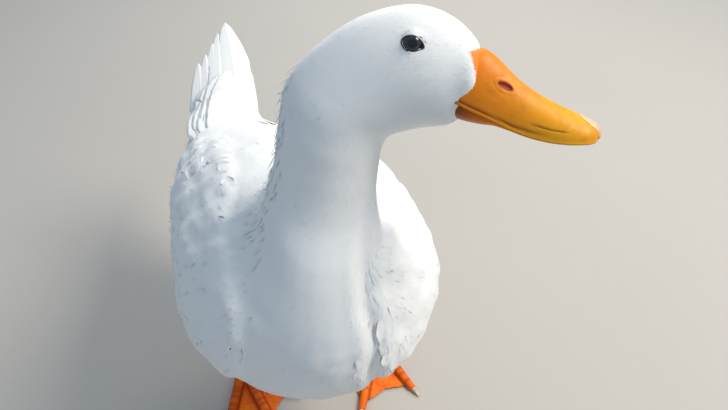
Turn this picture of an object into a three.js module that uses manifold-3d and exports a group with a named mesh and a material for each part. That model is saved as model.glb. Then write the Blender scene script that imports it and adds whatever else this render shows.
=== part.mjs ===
// A white domestic duck standing on both feet: the body raised a little in front, the neck upright, the
// head turned to the duck's left with one eye tilted upwards, and the tail lifted. Life size, in mm.
//
// The duck faces -Y, its left side is +X and up is +Z. Two frames are used:
// - the body frame: place(forward, left, up), measured from the floor between the feet;
// - the head frame: inHead(forward, left, up), measured from the point between the eyes.
//
// Rump, trunk, neck and head are one loft over a row of ribs. A rib is a closed oval that stands on the
// line from a point of the back (or nape, or crown) to a point of the belly (or breast, or throat). The
// loft is parted by thin cuts across it. Wings, tail, legs, eyes and bill are cut to fit against it.

import * as THREE from "three";
import { mergeVertices } from "three/addons/utils/BufferGeometryUtils.js";
import Module from "manifold-3d";

const wasm = await Module();
wasm.setup();

// ---------------------------------------------------------------- driving dimensions

const GAP = 0.3; // between neighbouring solids

// The point between the eyes, and how the head is held.
const HEAD_AT = { forward: 89.5, left: 60.5, up: 408 };
const HEAD_TURN = 59; // degrees to the duck's left
const HEAD_DIP = 6; // degrees, bill down
const HEAD_TILT = 20; // degrees, right eye up

// Ribs of rump, trunk and neck root: forward and up of the upper and lower ends, half the width, and
// how far the rib stands to the duck's left.
const TRUNK_RIBS = [
  { upper: [-184, 223], lower: [-190, 204], half: 27, left: -38 },
  { upper: [-164, 218], lower: [-178, 178], half: 39, left: -36 },
  { upper: [-137, 225], lower: [-156, 146], half: 55, left: -31 },
  { upper: [-104, 241], lower: [-118, 114], half: 75, left: -18 },
  { upper: [-62, 264], lower: [-66, 97], half: 91, left: -7 },
  { upper: [-20, 281], lower: [-14, 96], half: 95, left: -1 },
  { upper: [16, 290], lower: [34, 102], half: 95, left: 0 },
  { upper: [38, 294], lower: [82, 120], half: 91, left: 0 },
  { upper: [46, 298], lower: [120, 147], half: 84, left: 0 },
  { upper: [50, 301], lower: [145, 180], half: 73, left: 0 },
  { upper: [52, 305], lower: [157, 212], half: 59, left: 0 },
  { upper: [54, 312], lower: [157, 241], half: 46, left: 1 },
  { upper: [55, 322], lower: [148, 267], half: 37, left: 2 },
  { upper: [56, 334], lower: [135, 292], half: 33, left: 4 },
];

// Ribs of the neck: the centre, half the depth from nape to throat, half the width, how far the rib is
// turned to the left, and how far its nape end is higher than its throat end.
const NECK_RIBS = [
  { forward: 90.5, left: 7, up: 326, deep: 34.5, half: 30.5, turn: 8, lean: 25 },
  { forward: 86, left: 11, up: 345, deep: 32.5, half: 29.5, turn: 30, lean: 20 },
];

// Ribs of upper neck and head, in the head frame: forward and up of the upper and lower ends.
const HEAD_RIBS = [
  { upper: [-67.5, -43], lower: [-5, -57], half: 28 },
  { upper: [-60.5, -26], lower: [3.5, -51], half: 26.5 },
  { upper: [-47.5, -9.5], lower: [10, -47.5], half: 25 },
  { upper: [-33, 3.6], lower: [15, -45.5], half: 24 },
  { upper: [-17, 12.4], lower: [20, -44], half: 23 },
  { upper: [-3, 16.4], lower: [24.5, -42.5], half: 21.5 },
  { upper: [10, 15.6], lower: [28.5, -40.5], half: 19.4 },
  { upper: [20.5, 12], lower: [32, -36], half: 17.2 },
  { upper: [27.5, 7.4], lower: [35.5, -31], half: 17 },
  { upper: [33.2, 2.6], lower: [37.5, -24], half: 15 },
];
const WIDEST = 0.46; // of the way up each rib

// Where the loft is parted, counted in ribs from the tail end.
const SPAN = {
  rump: [0, 3.5],
  trunk: [3.5, 11],
  neck_lower: [11, 14],
  neck_upper: [14, 17],
  head: [17, 25],
};
const RIB_SIDES = 22;
const RINGS_PER_RIB = 2;

const EYE = { radius: 5.8, left: 15.6, up: -1.2 };

// The bill in the head frame: ridge is the height of its top line, rim that of the upper bill's lower
// edge, half its half-width, and chin how far the lower bill reaches below the rim.
const BILL_RIBS = [
  { forward: 18, ridge: -3, rim: -24, half: 11, chin: 9.5 },
  { forward: 27, ridge: 0.5, rim: -26, half: 15, chin: 10 },
  { forward: 35, ridge: 1.5, rim: -28.2, half: 15.4, chin: 8.6 },
  { forward: 43, ridge: -1.6, rim: -30, half: 14.8, chin: 6.4 },
  { forward: 50, ridge: -6, rim: -31.8, half: 14, chin: 3.6 },
  { forward: 58, ridge: -10.7, rim: -33.8, half: 13.8, chin: 1.7 },
  { forward: 68, ridge: -14.8, rim: -35, half: 14.2, chin: 0.1 },
  { forward: 78, ridge: -17.6, rim: -34.9, half: 15, chin: -0.8 },
  { forward: 87, ridge: -19.7, rim: -33.8, half: 15, chin: -1 },
  { forward: 95.5, ridge: -21.8, rim: -32.2, half: 13, chin: -1 },
  { forward: 100.2, ridge: -23.6, rim: -31.2, half: 9.2, chin: -1 },
  { forward: 102.6, ridge: -26, rim: -29.8, half: 4, chin: -1 },
];
const BILL_SIDES = 14;
const ARCH = { base: 0.95, tip: 0.8 }; // how pointed, then how square, the bill's arch is
const LOWER_BILL = { ribs: [1, 10], inset: 2, rise: 3.4 };
const NAIL = { forward: 99, up: -25, radii: [9, 6.5, 9], proud: 0.4 };
const NOSTRIL = { forward: 50, up: -13, left: 12.5, radii: [3.6, 4, 1.8], pitch: 16 };

// The folded wing: how much its form stands out from the trunk, how far from the spine's plane it
// begins, and its outline from the side. The left wing's front lies in a fold beside the turned neck.
const WING = { outward: 7, upward: 1.8, ribs: [2, 12.5], begins: { left: 20, right: 4 } };
const WING_FRONT = {
  left: [
    [100, 170],
    [138, 186],
    [168, 206],
    [178, 240],
    [170, 266],
    [140, 288],
    [70, 290],
  ],
  right: [
    [98, 170],
    [124, 202],
    [126, 236],
    [104, 266],
    [60, 280],
  ],
};
const WING_REAR = [
  [0, 277],
  [-66, 256],
  [-128, 220],
  [-138, 206],
  [-112, 178],
  [-56, 150],
  [0, 140],
  [56, 146],
];

// How wide a long feather is, as a share of its width, along its length.
const BLADE_SHAPE = [
  [0, 0.75],
  [0.5, 1],
  [0.8, 0.84],
  [0.93, 0.46],
  [1, 0.08],
];

// The wing's long feathers: the first one's root and tip, measured sideways from the spine, and how far
// each further one is set across, sunk in and drawn back.
const WING_END = {
  blades: 4,
  root: { forward: -74, out: 58, up: 232, spine: -10 },
  tip: {
    left: { forward: -152, out: 27, up: 217, spine: -33 },
    right: { forward: -178, out: 30, up: 226, spine: -37 },
  },
  step: { across: 8, sink: 0.8, shorter: 11 },
  blade: { width: 27, thick: 3.2 },
  face: [-0.2, 0.7, 0.68],
};

// The tail: feathers fanned to both sides of the middle one.
const TAIL = { forward: -150, left: -46, up: 198, length: 136, rise: 32, swing: 13 };
const TAIL_FAN = { pairs: 4, angle: 0.9, outward: 5.3, lower: 2.4, shorter: 9.5 };
const TAIL_BLADE = { width: 22, thick: 2.4 };

const LEGS = {
  left: { hip: [0, 46, 112], hock: [-36, 58, 66], foot: [-13, 73, 9], toes: { 2: -56, 3: -26, 4: 19 } },
  right: { hip: [0, -46, 112], hock: [-40, -56, 66], foot: [-18, -66, 9], toes: { 2: 48, 3: 15, 4: -22 } },
};
const THIGH = { top: 30, middle: 25, bottom: 11 };
const SHANK = { top: 8.4, waist: 5.6, bottom: 6.2 };
const PAD = 8.4;
const TOE_LENGTHS = { 2: 58, 3: 79, 4: 66 };
const TOE = { root: 5.6, tip: 3.2, knuckle: 0.7, flat: 1.15 };
const HIND_TOE = { length: 21, up: 13, tipUp: 5.4, turn: 160, root: 4, tip: 2.8 };
const CLAW = { length: 9, root: 2.4, tip: 0.6 };
const WEB = { from: 0.1, reach: 0.92, sag: 0.14, thick: 2.2, columns: 5 };

const WHITE = 0xf1f0ea;
const COLOURS = { bill: 0xee951f, foot: 0xe8701c, claw: 0xe2cfa6, eye: 0x1c2026, nail: 0xe9b98c };

// ---------------------------------------------------------------- frames

const radians = THREE.MathUtils.degToRad;
const place = (forward, left, up) => new THREE.Vector3(left, -forward, up);
const LEFT = new THREE.Vector3(1, 0, 0);
const UP = new THREE.Vector3(0, 0, 1);

/** The head frame as a matrix, whose x is forward, y left and z up. */
function headFrame() {
  const facing = new THREE.Matrix4().makeBasis(place(1, 0, 0), LEFT, UP);
  const turn = new THREE.Matrix4().makeRotationZ(radians(HEAD_TURN));
  const dip = new THREE.Matrix4().makeRotationY(radians(HEAD_DIP));
  const tilt = new THREE.Matrix4().makeRotationX(-radians(HEAD_TILT));
  const held = turn.multiply(facing).multiply(dip).multiply(tilt);
  return held.setPosition(place(HEAD_AT.forward, HEAD_AT.left, HEAD_AT.up));
}
const HEAD = headFrame();
const inHead = (forward, left, up) => new THREE.Vector3(forward, left, up).applyMatrix4(HEAD);

// ---------------------------------------------------------------- solids

/** A closed geometry as a manifold solid, turned right side out. */
function solid(geometry) {
  const bare = geometry.index ? geometry.toNonIndexed() : geometry.clone();
  bare.deleteAttribute("normal");
  bare.deleteAttribute("uv");
  const merged = mergeVertices(bare, 1e-4);
  const vertProperties = new Float32Array(merged.attributes.position.array);
  const triVerts = new Uint32Array(merged.index.array);
  const made = new wasm.Manifold(new wasm.Mesh({ numProp: 3, vertProperties, triVerts }));
  if (made.volume() > 0) return made;
  return new wasm.Manifold(new wasm.Mesh({ numProp: 3, vertProperties, triVerts: triVerts.reverse() }));
}

/** A manifold solid as a geometry. */
function geometryOf(made) {
  const mesh = made.getMesh();
  return new THREE.BufferGeometry()
    .setAttribute("position", new THREE.BufferAttribute(new Float32Array(mesh.vertProperties), 3))
    .setIndex(new THREE.BufferAttribute(new Uint32Array(mesh.triVerts), 1));
}

/** The largest of a solid's separate bodies, so that a cut leaves no crumbs. */
function largest(made) {
  return made.decompose().reduce((best, body) => (body.volume() > best.volume() ? body : best));
}

/** Several solids as one. */
const joined = (solids) => solids.reduce((sum, next) => sum.add(next));

/** A closed solid over a row of rings with equally many points, with a fan over each end. */
function loft(rings) {
  const sides = rings[0].length;
  const points = rings.flat();
  const faces = [];
  for (let ring = 0; ring + 1 < rings.length; ring++)
    for (let side = 0; side < sides; side++) {
      const here = ring * sides + side;
      const next = ring * sides + ((side + 1) % sides);
      faces.push(here, next, next + sides, here, next + sides, here + sides);
    }
  const middle = (ring) =>
    ring.reduce((sum, point) => sum.add(point), new THREE.Vector3()).divideScalar(sides);
  const first = points.length;
  const end = (rings.length - 1) * sides;
  points.push(middle(rings[0]), middle(rings.at(-1)));
  for (let side = 0; side < sides; side++) {
    const next = (side + 1) % sides;
    faces.push(first, next, side, first + 1, end + side, end + next);
  }
  return solid(new THREE.BufferGeometry().setFromPoints(points).setIndex(faces));
}

/** An oval ring round middle, in the plane of two unit vectors, with radii across, above and below. */
function oval(middle, across, upward, radii, sides) {
  return Array.from({ length: sides }, (_, side) => {
    const turn = (side / sides) * 2 * Math.PI;
    const height = Math.sin(turn);
    return middle
      .clone()
      .addScaledVector(across, radii[0] * Math.cos(turn))
      .addScaledVector(upward, radii[height > 0 ? 1 : 2] * height);
  });
}

/** A limb along a smooth line through points, with a radius at each point, flat times as wide. */
function limb(points, radii, { sides = 8, flat = 1, grown = 0, perPoint = 2 } = {}) {
  const path = new THREE.CatmullRomCurve3(points);
  const thickness = new THREE.CatmullRomCurve3(radii.map((radius) => new THREE.Vector3(radius, 0, 0)));
  const steps = (points.length - 1) * perPoint;
  const overall = points.at(-1).clone().sub(points[0]).normalize();
  const beside = Math.abs(overall.z) > 0.7 ? LEFT : overall.clone().cross(UP).normalize();
  const rings = Array.from({ length: steps + 1 }, (_, step) => {
    const along = path.getTangent(step / steps);
    const across = beside.clone().addScaledVector(along, -beside.dot(along)).normalize();
    const upward = new THREE.Vector3().crossVectors(across, along);
    const radius = thickness.getPoint(step / steps).x;
    const centre = path.getPoint(step / steps);
    if (step === 0) centre.addScaledVector(along, -grown);
    if (step === steps) centre.addScaledVector(along, grown);
    return oval(centre, across, upward, [radius * flat + grown, radius + grown, radius + grown], sides);
  });
  return loft(rings);
}

/** A long feather from root to tip: broad, thin and pointed, facing along face. */
function blade(root, tip, face, { width, thick }) {
  const along = tip.clone().sub(root);
  const across = new THREE.Vector3().crossVectors(along, face).normalize();
  const outwards = new THREE.Vector3().crossVectors(across, along).normalize();
  const rings = BLADE_SHAPE.map(([at, wide]) =>
    oval(
      root.clone().addScaledVector(along, at),
      across,
      outwards,
      [(width / 2) * wide, at === 1 ? 0.3 : thick / 2, at === 1 ? 0.3 : thick / 2],
      6,
    ),
  );
  return loft(rings);
}
/** An ellipsoid in the head frame. */
function headBall(forward, left, up, radii, turns = [0, 0, 0]) {
  const ball = new THREE.SphereGeometry(1, 12, 8).scale(...radii);
  ball.rotateX(radians(turns[0])).rotateY(radians(turns[1])).rotateZ(radians(turns[2]));
  return solid(ball.translate(forward, left, up).applyMatrix4(HEAD));
}

// ---------------------------------------------------------------- the loft of body, neck and head

/** A rib in space, from each table's own way to give it. */
const trunkRib = ({ upper, lower, half, left }) => ({
  upper: place(upper[0], left, upper[1]),
  lower: place(lower[0], left, lower[1]),
  side: LEFT.clone(),
  half,
});
function neckRib({ forward, left, up, deep, half, turn, lean }) {
  const centre = place(forward, left, up);
  const rear = place(-Math.cos(radians(turn)), -Math.sin(radians(turn)), 0);
  const rise = rear.multiplyScalar(Math.cos(radians(lean))).addScaledVector(UP, Math.sin(radians(lean)));
  return {
    upper: centre.clone().addScaledVector(rise, deep),
    lower: centre.clone().addScaledVector(rise, -deep),
    side: place(-Math.sin(radians(turn)), Math.cos(radians(turn)), 0),
    half,
  };
}
const headRib = ({ upper, lower, half }) => ({
  upper: inHead(upper[0], 0, upper[1]),
  lower: inHead(lower[0], 0, lower[1]),
  side: new THREE.Vector3(0, 1, 0).transformDirection(HEAD),
  half,
});
const RIBS = [...TRUNK_RIBS.map(trunkRib), ...NECK_RIBS.map(neckRib), ...HEAD_RIBS.map(headRib)];

/** A smooth curve through one value of every rib, read at any place between two ribs. */
function rail(valueOf) {
  const curve = new THREE.CatmullRomCurve3(RIBS.map(valueOf), false, "catmullrom", 0.5);
  return (at) => curve.getPoint(at / (RIBS.length - 1));
}
const upperRail = rail((rib) => rib.upper);
const lowerRail = rail((rib) => rib.lower);
const sideRail = rail((rib) => rib.side);
const halfRail = rail((rib) => new THREE.Vector3(rib.half, 0, 0));

/** The loft's ring at a place counted in ribs, grown sideways and up and down, shifted along it. */
function bodyRing(at, outwardBy = 0, upwardBy = 0, shift = 0) {
  const upper = upperRail(at);
  const lower = lowerRail(at);
  const rise = upper.clone().sub(lower);
  const deep = rise.length() / 2;
  rise.normalize();
  const side = sideRail(at);
  side.addScaledVector(rise, -side.dot(rise)).normalize();
  const along = new THREE.Vector3().crossVectors(side, rise);
  const middle = lower.clone().lerp(upper, WIDEST).addScaledVector(along, shift);
  const heights = [2 * deep * (1 - WIDEST) + upwardBy, 2 * deep * WIDEST + upwardBy];
  return oval(middle, side, rise, [halfRail(at).x + outwardBy, ...heights], RIB_SIDES);
}

/** A stretch of the loft, its ends drawn in by half a gap. */
function bodyPart([from, to], outwardBy = 0, upwardBy = 0, drawn = GAP / 2) {
  const steps = Math.round((to - from) * RINGS_PER_RIB);
  const rings = Array.from({ length: steps + 1 }, (_, step) => {
    const shift = step === 0 ? drawn : step === steps ? -drawn : 0;
    return bodyRing(from + ((to - from) * step) / steps, outwardBy, upwardBy, shift);
  });
  return loft(rings);
}

const LAST_RIB = RIBS.length - 1;
const wholeBody = bodyPart([0, LAST_RIB], GAP, GAP, -GAP);

// ---------------------------------------------------------------- eyes and bill

/** An eyeball, sign 1 for the left one and -1 for the right one. */
function eyeBall(sign, grown = 0) {
  const radius = EYE.radius + grown;
  return headBall(0, sign * EYE.left, EYE.up, [radius, radius, radius]);
}

/** The bill's sizes at a place counted in bill ribs, between two of them on a smooth line. */
function billSizes(at) {
  const sizes = (keys) => {
    const curve = new THREE.CatmullRomCurve3(
      BILL_RIBS.map((rib) => new THREE.Vector3(rib[keys[0]], rib[keys[1]], rib[keys[2]])),
    );
    return curve.getPoint(at / (BILL_RIBS.length - 1));
  };
  const { x: forward, y: ridge, z: rim } = sizes(["forward", "ridge", "rim"]);
  const { y: half, z: chin } = sizes(["forward", "half", "chin"]);
  return { forward, ridge, rim, half, chin };
}

/** The upper bill before anything is cut from it: arches from rim to rim, flat below. */
function upperBillForm(grown = 0) {
  const last = BILL_RIBS.length - 1;
  const rings = Array.from({ length: last + 1 }, (_, step) => {
    const { forward, ridge, rim, half } = billSizes(step);
    const square = THREE.MathUtils.lerp(ARCH.base, ARCH.tip, Math.min(1, step / last));
    const arch = Array.from({ length: BILL_SIDES + 1 }, (_, side) => {
      const turn = (side / BILL_SIDES) * Math.PI;
      const out = (half + grown) * Math.cos(turn);
      return inHead(forward, out, rim + (ridge - rim + grown) * Math.sin(turn) ** square);
    });
    return [...arch, inHead(forward, -half * 0.5, rim - grown), inHead(forward, half * 0.5, rim - grown)];
  });
  return loft(rings);
}

/** The lower bill, lying in the hollow of the upper one. */
function lowerBillForm(grown = 0) {
  const [from, to] = LOWER_BILL.ribs;
  const steps = to - from;
  const across = new THREE.Vector3(0, 1, 0).transformDirection(HEAD);
  const upward = new THREE.Vector3(0, 0, 1).transformDirection(HEAD);
  const rings = Array.from({ length: steps + 1 }, (_, step) => {
    const { forward, rim, half, chin } = billSizes(from + step);
    const end = step === steps ? grown : 0;
    const radii = [half - LOWER_BILL.inset + grown, LOWER_BILL.rise + grown, Math.max(chin, 0.4) + grown];
    const level = chin < 0.4 ? 0.4 - chin : 0;
    return oval(inHead(forward + end, 0, rim + level), across, upward, radii, 12);
  });
  return loft(rings);
}

/** The nail at the tip of the bill, or the room it takes. */
function nailForm(grown = 0) {
  const radii = NAIL.radii.map((radius) => radius + grown);
  return headBall(NAIL.forward, 0, NAIL.up, radii);
}

function addHead(parts) {
  const sockets = [eyeBall(1, GAP), eyeBall(-1, GAP)];
  const head = bodyPart(SPAN.head).subtract(joined(sockets));
  const roomForHead = bodyPart([SPAN.head[0], LAST_RIB], GAP, GAP, -GAP);
  const nostrils = [1, -1].map((sign) =>
    headBall(NOSTRIL.forward, sign * NOSTRIL.left, NOSTRIL.up, NOSTRIL.radii, [0, NOSTRIL.pitch, 0]),
  );
  const upperBill = upperBillForm().subtract(roomForHead).subtract(lowerBillForm(GAP));
  const nail = upperBillForm(NAIL.proud).subtract(lowerBillForm(GAP)).intersect(nailForm());
  parts.head = [head, "plumage"];
  parts.eye_left = [eyeBall(1), "eye"];
  parts.eye_right = [eyeBall(-1), "eye"];
  parts.bill_upper = [upperBill.subtract(nailForm(GAP)).subtract(joined(nostrils)), "bill"];
  parts.bill_nail = [nail, "nail"];
  parts.bill_lower = [lowerBillForm().subtract(roomForHead), "bill"];
}

// ---------------------------------------------------------------- wings and tail

/** A prism over an outline seen from the side, from begins out to the duck's left or right. */
function sidePrism(outline, sign, begins) {
  const curve = new THREE.SplineCurve([...outline, outline[0]].map(([x, y]) => new THREE.Vector2(x, y)));
  const shape = new THREE.Shape(curve.getPoints(outline.length * 2).slice(0, -1));
  const prism = new THREE.ExtrudeGeometry(shape, { depth: 200, bevelEnabled: false, curveSegments: 1 });
  const turned = new THREE.Matrix4().makeBasis(place(1, 0, 0), UP, place(0, sign, 0));
  return solid(prism.applyMatrix4(turned.setPosition(place(0, sign * begins, 0))));
}

/** The wing's form: the trunk's own, standing out most in the middle of the wing. */
function wingForm() {
  const [from, to] = WING.ribs;
  const steps = Math.round((to - from) * 2);
  const rings = Array.from({ length: steps + 1 }, (_, step) => {
    const swell = 0.3 + 0.7 * Math.sin((step / steps) * Math.PI) ** 0.6;
    return bodyRing(from + ((to - from) * step) / steps, WING.outward * swell, WING.upward);
  });
  return loft(rings);
}

/** The long feathers of a wing's end, each lying under the one before. */
function wingEnd(name, sign) {
  const { root, tip, step } = WING_END;
  const at = ({ forward, out, up, spine }) => place(forward, spine + sign * out, up);
  const face = place(WING_END.face[0], sign * WING_END.face[1], WING_END.face[2]).normalize();
  const [rootAt, tipAt] = [at(root), at(tip[name])];
  const along = tipAt.clone().sub(rootAt).normalize();
  const across = new THREE.Vector3().crossVectors(along, face).multiplyScalar(sign).normalize();
  const feathers = Array.from({ length: WING_END.blades }, (_, count) => {
    const shift = across.clone().multiplyScalar(step.across * count);
    shift.addScaledVector(face, -step.sink * count);
    const end = tipAt.clone().add(shift).addScaledVector(along, -step.shorter * count);
    return blade(rootAt.clone().add(shift), end, face, WING_END.blade);
  });
  return joined(feathers);
}

function addWing(parts, name, sign) {
  const prism = sidePrism([...WING_FRONT[name], ...WING_REAR], sign, WING.begins[name]);
  const form = wingForm().intersect(prism);
  parts[`wing_${name}`] = [largest(form.subtract(wholeBody)), "plumage"];
  parts[`wing_end_${name}`] = [largest(wingEnd(name, sign).subtract(wholeBody).subtract(form)), "plumage"];
}

function addTail(parts) {
  const { forward, left, up, length, rise, swing } = TAIL;
  const feather = (spot) => {
    const turn = radians(swing + spot * TAIL_FAN.angle);
    const away = Math.abs(spot);
    const root = place(forward, left + spot * TAIL_FAN.outward, up - away * TAIL_FAN.lower);
    const reach = length - away * TAIL_FAN.shorter;
    const flat = Math.cos(radians(rise)) * reach;
    const step = place(-flat * Math.cos(turn), flat * Math.sin(turn), Math.sin(radians(rise)) * reach);
    const face = place(0.5, spot * 0.12, 1);
    return blade(root, root.clone().add(step), face, TAIL_BLADE);
  };
  const places = Array.from({ length: TAIL_FAN.pairs * 2 + 1 }, (_, index) => index - TAIL_FAN.pairs);
  parts.tail = [largest(joined(places.map(feather)).subtract(wholeBody)), "plumage"];
}

// ---------------------------------------------------------------- legs

const aboveFloor = () => solid(new THREE.BoxGeometry(900, 900, 900).translate(0, 0, 450));

/** The line of a toe: root, knuckles and tip. */
function toeLine(foot, angle, length) {
  const reach = [0, 0.3, 0.62, 1];
  const heights = [foot[2] - 1, 5.4, 4.2, 2.6];
  return reach.map((part, index) => {
    const out = part * length;
    const turn = radians(angle);
    return place(foot[0] + out * Math.cos(turn), foot[1] + out * Math.sin(turn), heights[index]);
  });
}

/** The web between two toes, from near their roots out to a sagging edge. */
function web(inner, outer) {
  const lines = [inner, outer].map((points) => new THREE.CatmullRomCurve3(points));
  const rings = [0, 0.3, 0.65, 1].map((step) => {
    const row = Array.from({ length: WEB.columns + 1 }, (_, column) => {
      const across = column / WEB.columns;
      const sag = 1 - WEB.sag * Math.sin(across * Math.PI) * step;
      const out = (WEB.from + (WEB.reach - WEB.from) * step) * sag;
      return lines[0].getPoint(out).lerp(lines[1].getPoint(out), across);
    });
    const above = row.map((point) => point.clone().setZ(Math.max(point.z * 0.8, WEB.thick + 0.4)));
    const below = row.map((point, index) => point.clone().setZ(above[index].z - WEB.thick)).reverse();
    return [...above, ...below];
  });
  return loft(rings);
}

/** A claw that carries on from the end of a toe, cut to clear it. */
function claw(points, toe) {
  const [before, end] = points.slice(-2);
  const along = end.clone().sub(before).setZ(0).normalize();
  const at = (part, up) => end.clone().addScaledVector(along, part * CLAW.length).setZ(up);
  const line = [at(-0.2, end.z), at(0.5, end.z * 0.9 + 0.2), at(1, CLAW.tip + 0.2)];
  return limb(line, [CLAW.root, CLAW.root * 0.75, CLAW.tip], { sides: 6 }).subtract(toe);
}

function addLeg(parts, name) {
  const { hip, hock, foot, toes } = LEGS[name];
  const sign = Math.sign(hip[1]);
  const [hipAt, hockAt, footAt] = [hip, hock, foot].map((point) => place(...point));
  const knee = hipAt.clone().lerp(hockAt, 0.55).add(place(6, sign * 4, 0));
  const thigh = limb([hipAt, knee, hockAt], [THIGH.top, THIGH.middle, THIGH.bottom], { sides: 16 });
  const shin = hockAt.clone().lerp(footAt, 0.5).add(place(-1.5, 0, 0));
  const hockTop = hockAt.clone().add(place(5, -sign, 9));
  const shankLine = [hockTop, hockAt, shin, footAt];
  const shankRadii = [SHANK.top * 0.9, SHANK.top, SHANK.waist, SHANK.bottom];
  const shank = limb(shankLine, shankRadii, { flat: 0.88 });
  const roomForShank = limb(shankLine, shankRadii, { flat: 0.88, grown: GAP });
  const lines = Object.keys(toes).map((toe) => toeLine(foot, toes[toe], TOE_LENGTHS[toe]));
  const toeRadii = [TOE.root, TOE.root * 0.92, TOE.root * 0.8, TOE.tip];
  const hindTurn = radians(sign * -HIND_TOE.turn);
  const hindTip = place(
    foot[0] + HIND_TOE.length * Math.cos(hindTurn),
    foot[1] + HIND_TOE.length * Math.sin(hindTurn),
    HIND_TOE.tipUp,
  );
  const hindLine = [footAt.clone().setZ(HIND_TOE.up), hindTip];
  const toe = (line, grown = 0) =>
    line === hindLine
      ? limb(line, [HIND_TOE.root, HIND_TOE.tip], { sides: 10, grown })
      : limb(line, toeRadii, { flat: TOE.flat, grown });
  const pieces = [
    ...[hindLine, ...lines].map((line) => toe(line)),
    web(lines[0], lines[1]),
    web(lines[1], lines[2]),
    solid(new THREE.SphereGeometry(PAD, 10, 6).translate(footAt.x, footAt.y, footAt.z - 1)),
  ];
  const ankle = joined(pieces).subtract(roomForShank).intersect(aboveFloor());
  parts[`thigh_${name}`] = [largest(thigh.subtract(wholeBody).subtract(roomForShank)), "plumage"];
  parts[`shank_${name}`] = [shank, "foot"];
  parts[`foot_${name}`] = [largest(ankle), "foot"];
  [hindLine, ...lines].forEach((line, index) => {
    parts[`claw_${name}_${index + 1}`] = [claw(line, toe(line, GAP)), "claw"];
  });
}

// ---------------------------------------------------------------- the duck

const LOOKS = {
  plumage: { color: WHITE, roughness: 0.9 },
  bill: { color: COLOURS.bill, roughness: 0.45 },
  nail: { color: COLOURS.nail, roughness: 0.4 },
  foot: { color: COLOURS.foot, roughness: 0.55 },
  claw: { color: COLOURS.claw, roughness: 0.5 },
  eye: { color: COLOURS.eye, roughness: 0.08 },
};

function duck() {
  const parts = {};
  for (const name of ["rump", "trunk", "neck_lower", "neck_upper"]) {
    parts[name] = [bodyPart(SPAN[name]), "plumage"];
  }
  addHead(parts);
  addWing(parts, "left", 1);
  addWing(parts, "right", -1);
  addTail(parts);
  addLeg(parts, "left");
  addLeg(parts, "right");
  const group = new THREE.Group();
  group.name = "duck";
  for (const [name, [made, look]] of Object.entries(parts)) {
    const material = new THREE.MeshStandardMaterial({ name: look, metalness: 0, ...LOOKS[look] });
    const mesh = new THREE.Mesh(geometryOf(made), material);
    mesh.name = name;
    group.add(mesh);
  }
  const box = new THREE.Box3().setFromObject(group);
  const middle = box.getCenter(new THREE.Vector3());
  for (const mesh of group.children) mesh.geometry.translate(-middle.x, -middle.y, -box.min.z);
  return group;
}

export default duck();
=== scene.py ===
"""A white domestic duck, life-size and still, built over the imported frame.

One skin stands for all the flesh. The plumage lies on it as joined meshes of small closed tufts and
vanes that follow the lie of the coat from the bill to the tail. Bill, eyes, lids, legs, feet, claws,
flight feathers and tail feathers are pieces of their own.
"""

import logging
import math
from dataclasses import dataclass, field
from enum import Enum

import bmesh
import bpy
import numpy as np
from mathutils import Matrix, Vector
from mathutils.bvhtree import BVHTree
from mathutils.kdtree import KDTree


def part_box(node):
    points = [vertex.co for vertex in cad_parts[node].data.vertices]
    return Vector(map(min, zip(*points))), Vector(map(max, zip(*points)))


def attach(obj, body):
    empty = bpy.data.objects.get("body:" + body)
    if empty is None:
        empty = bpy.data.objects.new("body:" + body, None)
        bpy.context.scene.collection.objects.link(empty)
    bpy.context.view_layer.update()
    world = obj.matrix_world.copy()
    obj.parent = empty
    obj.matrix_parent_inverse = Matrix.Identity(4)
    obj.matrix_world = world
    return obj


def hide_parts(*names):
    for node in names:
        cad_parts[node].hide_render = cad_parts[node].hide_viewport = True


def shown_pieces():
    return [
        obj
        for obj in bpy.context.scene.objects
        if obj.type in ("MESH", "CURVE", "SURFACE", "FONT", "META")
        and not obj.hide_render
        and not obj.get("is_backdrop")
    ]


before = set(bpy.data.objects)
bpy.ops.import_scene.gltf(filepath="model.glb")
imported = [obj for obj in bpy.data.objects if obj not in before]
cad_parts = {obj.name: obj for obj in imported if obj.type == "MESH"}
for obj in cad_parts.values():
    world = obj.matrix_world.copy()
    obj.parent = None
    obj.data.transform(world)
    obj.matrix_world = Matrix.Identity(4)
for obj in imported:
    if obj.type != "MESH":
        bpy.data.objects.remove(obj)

logging.basicConfig(level=logging.INFO, format="%(message)s")
LOG = logging.getLogger("duck")

MM = 0.001
SEED = 41
BODY = "root"
UNWRAP = "OFBake"
Array = np.ndarray
Piece = bpy.types.Object
Material = bpy.types.Material
Colour = tuple[float, float, float]
Socket = bpy.types.NodeSocket


# --- small helpers


def unit(vectors: Array) -> Array:
    """Vectors at length one, along the last axis."""
    return vectors / np.maximum(np.linalg.norm(vectors, axis=-1, keepdims=True), 1e-12)


def smoothstep(values: Array, low: float, high: float) -> Array:
    """A soft step from 0 at low to 1 at high; low may be the larger."""
    part = np.clip((np.asarray(values, float) - low) / (high - low), 0.0, 1.0)
    return part * part * (3.0 - 2.0 * part)


def waves(points: Array, size: float, seed: int) -> Array:
    """Soft noise from -1 to 1: a few sine waves of about the given wavelength in random directions.

    Args:
        points: places in metres, one a row.
        size: the middle wavelength in metres.
        seed: picks the directions and phases.

    Returns:
        One value for each point.
    """
    rng = np.random.default_rng(seed)
    total = np.zeros(len(points))
    for _ in range(7):
        direction = unit(rng.normal(size=3)) * (2 * math.pi / (size * rng.uniform(0.6, 1.5)))
        total += np.sin(points @ direction + rng.uniform(0, 2 * math.pi))
    return total / 3.2


def deselect_all() -> None:
    """Leaves object mode's selection empty."""
    for thing in bpy.context.selected_objects:
        thing.select_set(False)


def make_active(piece: Piece) -> None:
    """Selects one object alone and makes it the active one."""
    deselect_all()
    piece.select_set(True)
    bpy.context.view_layer.objects.active = piece


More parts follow.
